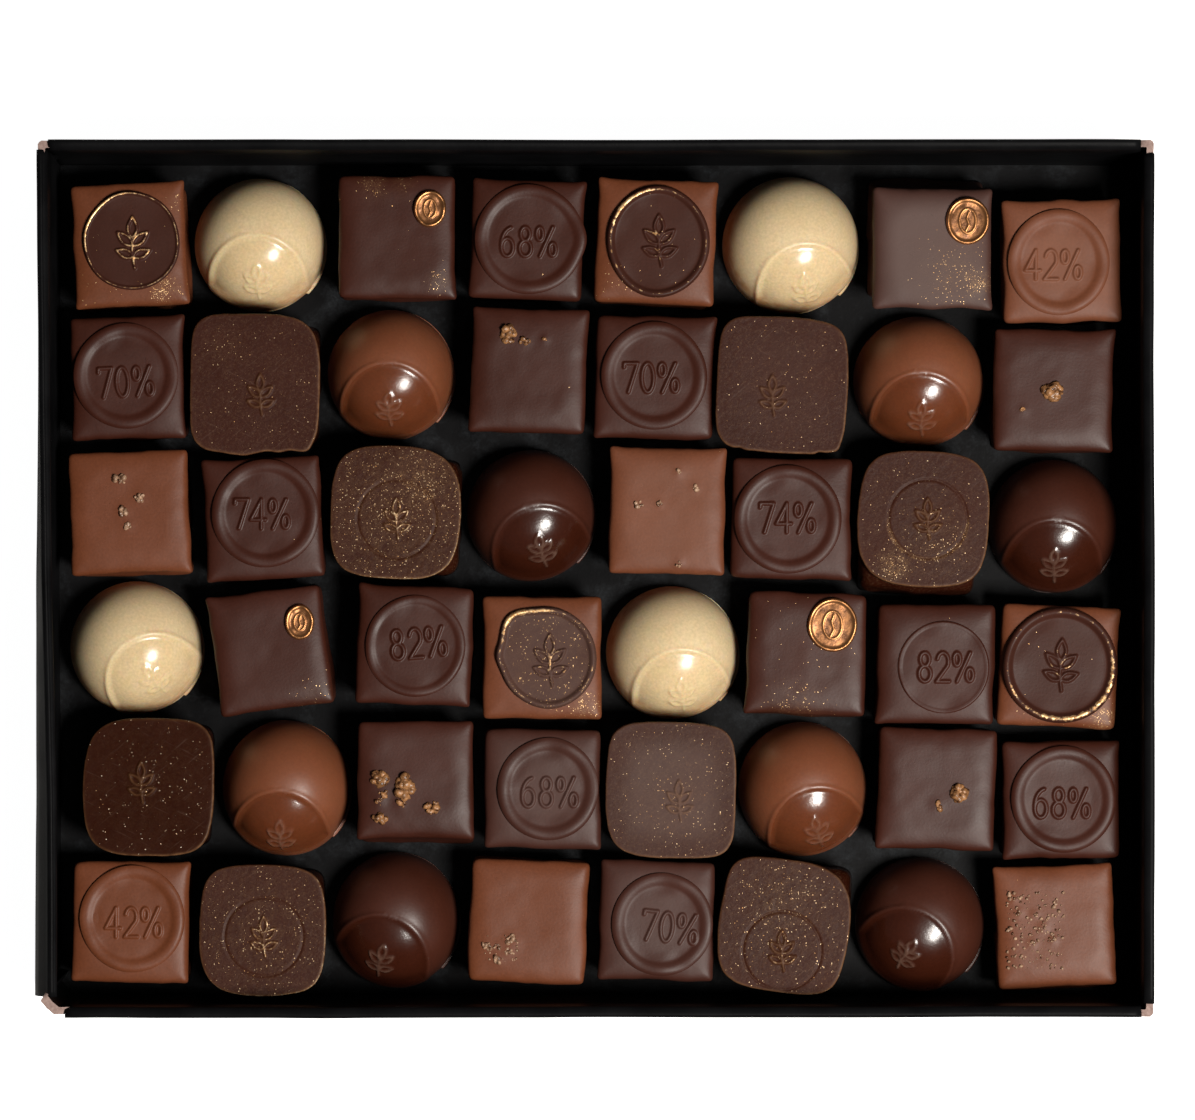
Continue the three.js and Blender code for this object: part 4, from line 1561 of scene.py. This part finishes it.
# Each praline's row and column from the back left, its place, and what its own class asks for
PRALINES: tuple[Praline, ...] = (
    Numbered("r1c4", Place(-14.0, 69.3, 23.3, 24.6, -2.5), Round(-13.5, 69.3, 22.3, 22.5), "68%", (528, 242),
             shape=DiscShape(0.6, 0.2, 2.4, 0.14, ((0, 17, 0.55),))),
    Numbered("r1c8", Place(95.3, 64.9, 24.3, 25.3, 1), Round(94.6, 64.6, 20.8, 21.7), "42%", (1053, 265),
             bloom=0.34, kind=Kind.MILK),
    Numbered("r2c1", Place(-95.6, 41.0, 23.4, 25.2, 1.5), Round(-95.9, 41.4, 21.4, 21.6), "70%",
             (126, 382), 3),
    Numbered("r2c5", Place(12.2, 41.1, 24.5, 25.2, -1.5), Round(12.0, 41.4, 21.7, 22.0), "70%", (651, 378)),
    Numbered("r3c2", Place(-67.9, 12.3, 24.2, 25.0, 3), Round(-67.4, 13.3, 21.9, 22.2), "74%", (262, 514)),
    Numbered("r3c6", Place(40.0, 12.3, 24.8, 25.0, -1), Round(39.3, 12.1, 22.0, 22.2), "74%", (787, 518)),
    Numbered("r4c3", Place(-36.9, -13.7, 23.7, 24.6, -2.5), Round(-36.8, -13.8, 20.4, 20.8), "82%",
             (418, 643), 5, DiscShape(0.5, 0.26, 1.8, 0.12)),
    Numbered("r4c7", Place(69.5, -17.5, 24.3, 24.7, -1), Round(71.1, -18.1, 18.7, 18.9), "82%", (945, 667),
             shape=DiscShape(0.4, 0.34, 0.9, 0.08)),
    Numbered("r5c4", Place(-10.8, -43.0, 24.0, 24.6, -0.5), Round(-9.7, -43.0, 20.8, 21.0), "68%", (549, 792),
             bloom=0.32),
    Numbered("r5c8", Place(95.2, -45.3, 24.1, 24.2, 0.5), Round(95.6, -45.1, 21.5, 21.8), "68%", (1061, 803)),
    Numbered("r6c1", Place(-95.1, -70.2, 24.3, 25.0, -1), Round(-94.6, -69.5, 21.5, 21.8), "42%", (134, 922),
             kind=Kind.MILK),
    Numbered("r6c5", Place(12.6, -69.9, 23.7, 24.7, -1.5), Round(13.6, -70.6, 20.8, 21.1), "70%", (670, 927),
             -6, bloom=0.26),
    Sealed("r1c1", Place(-95.2, 68.3, 23.4, 25.4, 3, (0, -0.6)), Round(-94.7, 68.9, 19.6, 20.4), (133, 243),
           DiscShape(0.8, 0.5, 0.8, 0.3), 0.62, 0.6, gilt_more=(140, 42, 0.06),
           dust=(Dust(7, -9.5, 3, 1.5), Dust(8.5, 8.5, 3, 0.6), Dust(0, -9, 12, 0.3))),
    Sealed("r1c5", Place(12.4, 68.9, 24.6, 25.6, -2.5, (0, -0.4)), Round(12.8, 68.8, 20.8, 23.0), (659, 241),
           DiscShape(1.1, 0.5, 1.5, 0.2), 0.5, 0.5, dust=(Dust(-8, -9, 5, 0.4), Dust(0, 0, 20, 0.1))),
    Sealed("r4c4", Place(-10.9, -16.2, 24.4, 25.2), Round(-9.7, -16.2, 19.8, 20.8), (550, 660),
           DiscShape(1.2, 0.6, 1.4, 0.25, ((135, 22, 1.6), (178, 14, 0.8))), 0.52, 0.51,
           gilt_more=(125, 30, 0.1), powder=0.45, dust=(Dust(9, -10, 3.5, 1.1), Dust(2, -11, 6, 0.35))),
    Sealed("r4c8", Place(94.7, -18.0, 24.3, 25.0, -3), Round(94.9, -17.8, 23.4, 23.7), (1060, 665),
           DiscShape(1.3, 0.5, 1.8, 0.25), 0.43, 0.48, tilt=-4, gilt_more=(-60, 100, 0.065),
           dust=(Dust(9, -10.5, 3.5, 1.3), Dust(-4, -11, 5, 0.35))),
    Gilded("r1c3", Place(-40.6, 69.8, 24.3, 25.4), Round(-33.8, 75.5, 6.7, 7.6), dust=(
        Dust(8.6, -9.1, 2.4, 0.85), Dust(-4.5, 10.8, 3.6, 0.75), Dust(1, 10.8, 3, 0.6),
        Dust(6, -5, 8, 0.12))),
    Gilded("r1c7", Place(69.0, 67.1, 24.4, 24.9, -0.5, (-1.0, 3.2)), Round(76.0, 73.0, 9.0, 9.6), bloom=0.9,
           dust=(Dust(8.6, -6.5, 3.0, 1.6), Dust(4, -5, 8, 0.6))),
    Gilded("r4c2", Place(-66.4, -14.7, 23.6, 24.8, 7.5), Round(-60.4, -8.9, 6.1, 7.2),
           dust=(Dust(9, -9, 5, 0.4),)),
    Gilded("r4c6", Place(43.1, -15.2, 24.6, 25.2, -2, (0, -0.8)), Round(48.4, -9.5, 10.2, 11.0),
           dust=(Dust(-2, -11, 7, 0.6), Dust(2, 1, 12, 0.25))),
    Sprinkled("r2c4", Place(-13.6, 42.5, 23.9, 25.6, -2),
              ((-17.9, 49.8, 3.0, 3.8), (-14.4, 48.4, 2.2, 1.8), (-10.3, 49.0, 1.2, 1.3))),
    Sprinkled("r2c8", Place(93.7, 38.4, 24.6, 25.2, -1), ((93.3, 38.3, 4.1, 3.6), (87.4, 34.4, 1.5, 1.4))),
    Sprinkled("r3c1", Place(-95.3, 13.6, 24.6, 25.2, 2, (0, -0.7)),
              ((-97.2, 20.3, 2.9, 2.2), (-93.1, 16.5, 2.1, 1.9), (-96.4, 13.6, 2.2, 2.0),
               (-95.4, 10.7, 1.7, 1.6)), kind=Kind.MILK),
    Sprinkled("r3c5", Place(14.7, 13.8, 23.9, 26.2, -1),
              ((8.9, 15.2, 2.4, 1.7), (16.9, 21.6, 1.3, 1.2), (20.5, 18.5, 1.5, 1.6), (13.2, 15.2, 1.3, 1.2),
               (17.1, 3.0, 1.9, 1.1)), bloom=0.22, kind=Kind.MILK),
    Sprinkled("r5c3", Place(-36.8, -41.0, 23.9, 24.4, 0, (0, -1.6)),
              ((-44.0, -41.1, 3.4, 3.2), (-43.6, -43.9, 2.2, 1.7), (-44.1, -45.6, 1.5, 1.9),
               (-44.0, -49.0, 2.8, 2.4), (-38.9, -42.5, 3.6, 5.0), (-39.6, -45.9, 1.7, 1.7),
               (-33.3, -46.7, 3.1, 2.7))),
    Sprinkled("r5c7", Place(69.8, -43.0, 24.3, 25.0, -2), ((74.1, -43.8, 3.5, 3.6), (70.0, -46.5, 1.7, 2.3))),
    Sprinkled("r6c4", Place(-13.7, -70.2, 24.3, 25.4, -2.5),
              ((-22.2, -74.9, 2.3, 1.7), (-19.9, -77.6, 1.6, 1.9), (-17.1, -73.9, 2.6, 2.1),
               (-17.9, -76.2, 2.0, 1.7), (-20.1, -75.0, 1.8, 1.5)), (-22.6, -78.4, 7.0, 5.6, 34),
              kind=Kind.MILK),
    Sprinkled("r6c8", Place(93.9, -70.9, 24.3, 25.0, 2.5, (0.3, -1.4)),
              ((86.6, -68.2, 1.3, 1.2), (89.7, -68.6, 1.4, 1.2), (91.5, -71.2, 1.6, 1.5),
               (89.2, -74.6, 1.8, 1.3), (93.6, -73.8, 1.2, 1.4), (85.5, -65.4, 1.2, 1.1)),
              (84.0, -79.8, 11.6, 16.4, 190), kind=Kind.MILK),
    Plated("r2c2", Place(-69.5, 39.8, 26.6, 28.5, -1), (261, 395), (0.05, 0.12, 0.12, 0.12), (0.6, 0.0),
           edge_gilt=0.2, bites=((-60, 6, -0.5), (-49, 5, 0.5), (-78, 9, -0.4), (-100, 12, 0.5)),
           dust=(Dust(-6, 7, 6, 0.42), Dust(0, 0, 24, 0.24))),
    Plated("r2c6", Place(38.1, 39.5, 26.9, 27.8, -3), (772, 396), (0.07, 0.12, 0.11, 0.13), bloom=0.1,
           bites=((-57, 3, -0.4), (-46, 4, 0.5), (-122, 3, -0.3)), dust=(Dust(0, 0, 24, 0.24),)),
    Plated("r3c3", Place(-40.8, 13.5, 26.6, 27.2, -2), (397, 519), (0.0, 0.05, 0.06, 0.03), (0.9, -0.6),
           ring=True, edge_gilt=0.75, dust=(Dust(5, 6, 11, 0.85), Dust(0, 0, 26, 0.62))),
    Plated("r3c7", Place(66.9, 12.2, 26.8, 27.8, -3, (-0.4, -0.8)), (927, 519), (0.04, 0.04, 0.02, 0.05),
           (-0.3, -2.6), ring=True, edge_gilt=0.4, ring_gold=2.0,
           dust=(Dust(-6, -9.5, 4, 1.25), Dust(3, -5, 10, 0.6), Dust(0, 0, 26, 0.3))),
    Plated("r5c1", Place(-91.2, -42.6, 26.7, 28.2, -1), (142, 782), (0.11, 0.03, 0.05, 0.06), gloss=True,
           edge_gilt=0.2, dust=(Dust(0, 0, 24, 0.3),)),
    Plated("r5c5", Place(15.4, -43.2, 26.7, 27.8, -1), (679, 800), (0.08, 0.1, 0.05, 0.11), bloom=0.6,
           edge_gilt=0.2, dust=(Dust(0, 0, 24, 0.38),)),
    Plated("r6c2", Place(-67.9, -71.7, 25.9, 26.8, -1), (264.5, 936), (0.05, 0.07, 0.03, 0.05), ring=True,
           edge_gilt=0.75, dust=(Dust(0, 0, 24, 0.46),)),
    Plated("r6c6", Place(38.5, -70.9, 26.7, 27.2, -8), (781.6, 950), (0.0, 0.1, 0.05, 0.07), (1.0, 1.0),
           ring=True, edge_gilt=0.55, dust=(Dust(0, 5, 14, 0.62), Dust(0, 0, 26, 0.42))),
    Dome("r1c2", Place(-69.2, 68.8, 27.4, 27.8), -90, -1.3, kind=Kind.WHITE),
    Dome("r1c6", Place(40.2, 68.7, 28.4, 28.6), -74, 0.8, 8, kind=Kind.WHITE),
    Dome("r2c3", Place(-42.2, 42.0, 26.4, 27.2), -90, -2.1, kind=Kind.MILK),
    Dome("r2c7", Place(66.6, 40.6, 27.2, 27.3), -90, -1.5, kind=Kind.MILK),
    Dome("r3c4", Place(-13.3, 13.0, 26.9, 27.4), -73, -1.8, 12),
    Dome("r3c8", Place(94.4, 10.8, 26.9, 27.8), -95, -1.2),
    Dome("r4c1", Place(-94.6, -14.2, 27.8, 27.6), -56, -1.5, 35, kind=Kind.WHITE),
    Dome("r4c5", Place(15.8, -15.3, 27.6, 27.7), -78, -0.6, 4, kind=Kind.WHITE),
    Dome("r5c2", Place(-63.7, -43.2, 26.8, 28.2), -95, 0.2, kind=Kind.MILK),
    Dome("r5c6", Place(42.7, -43.4, 26.8, 28.0), -72, -0.4, 15, kind=Kind.MILK),
    Dome("r6c3", Place(-41.1, -70.4, 26.6, 28.2), -111, -1.2, -15),
    Dome("r6c7", Place(66.9, -71.3, 26.8, 27.8), -124, -3.0, -35),
)


# The studio


@dataclass(frozen=True)
class Studio:
    """The floor, the light and the camera, which looks straight down. Its lengths are metres."""

    camera_high: float = 1.33
    lens: float = 193.8
    shift_x: float = 0.0017
    shift_y: float = 0.0155
    key_way: tuple[float, float, float] = (0.38, -0.25, 0.889)
    key_far: float = 1.05
    key_size: float = 0.29
    key_power: float = 14.9
    ambient: float = 0.05
    floor_glow: float = 0.97
    floor_low: float = -0.0004

    def build(self) -> None:
        """Makes the floor, the light and the camera."""
        scene = bpy.context.scene
        scene.view_settings.view_transform = "Standard"
        scene.world = bpy.data.worlds.new("studio")
        scene.world.use_nodes = True
        background = scene.world.node_tree.nodes["Background"].inputs
        background["Color"].default_value = (0.95, 0.97, 1.0, 1.0)
        background["Strength"].default_value = self.ambient
        self.build_floor()
        self.build_light()
        data = bpy.data.cameras.new("camera")
        data.lens = self.lens
        data.sensor_width = 36.0
        data.sensor_fit = "HORIZONTAL"
        data.shift_x = self.shift_x
        data.shift_y = self.shift_y
        data.clip_start = 0.05
        camera = bpy.data.objects.new("camera", data)
        camera.location = (0.0, 0.0, self.camera_high)
        scene.collection.objects.link(camera)
        scene.camera = camera

    def build_floor(self) -> None:
        """Makes the pale floor, which glows white to the camera alone."""
        form = bmesh.new()
        bmesh.ops.create_grid(form, x_segments=4, y_segments=4, size=3.0)
        floor = placed("studio_floor", form, smooth=False)
        floor.location.z = self.floor_low
        paint = bpy.data.materials.new("pale_floor")
        paint.use_nodes = True
        tree = paint.node_tree
        shader = tree.nodes["Principled BSDF"].inputs
        shader["Base Color"].default_value = (0.9, 0.9, 0.9, 1.0)
        shader["Roughness"].default_value = 0.9
        shader["Emission Color"].default_value = (1.0, 1.0, 1.0, 1.0)
        seen = tree.nodes.new("ShaderNodeLightPath").outputs["Is Camera Ray"]
        tree.links.new(Sheet(tree).times(seen, self.floor_glow), shader["Emission Strength"])
        floor.data.materials.append(paint)

    def build_light(self) -> None:
        """Adds a round soft light that shines at the tray."""
        data = bpy.data.lights.new("key", "AREA")
        data.shape = "DISK"
        data.size = self.key_size
        data.energy = self.key_power
        data.color = (1.0, 0.96, 0.9)
        light = bpy.data.objects.new("key", data)
        way = Vector(self.key_way).normalized()
        light.location = way * self.key_far
        light.rotation_mode = "QUATERNION"
        light.rotation_quaternion = way.to_track_quat("Z", "Y")
        bpy.context.scene.collection.objects.link(light)


def main() -> None:
    """Loads the frame, builds the tray, the pralines and the studio."""
    logging.basicConfig(level=logging.INFO, format="%(name)s: %(message)s")
    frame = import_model()
    finishes = Finishes()
    Tray().build(finishes)
    for praline in sorted(PRALINES, key=lambda praline: praline.spot):
        praline.build(finishes)
    Studio().build()
    log.info("%d CAD nodes", len(frame["nodes"]))


if __name__ == "__main__":
    main()
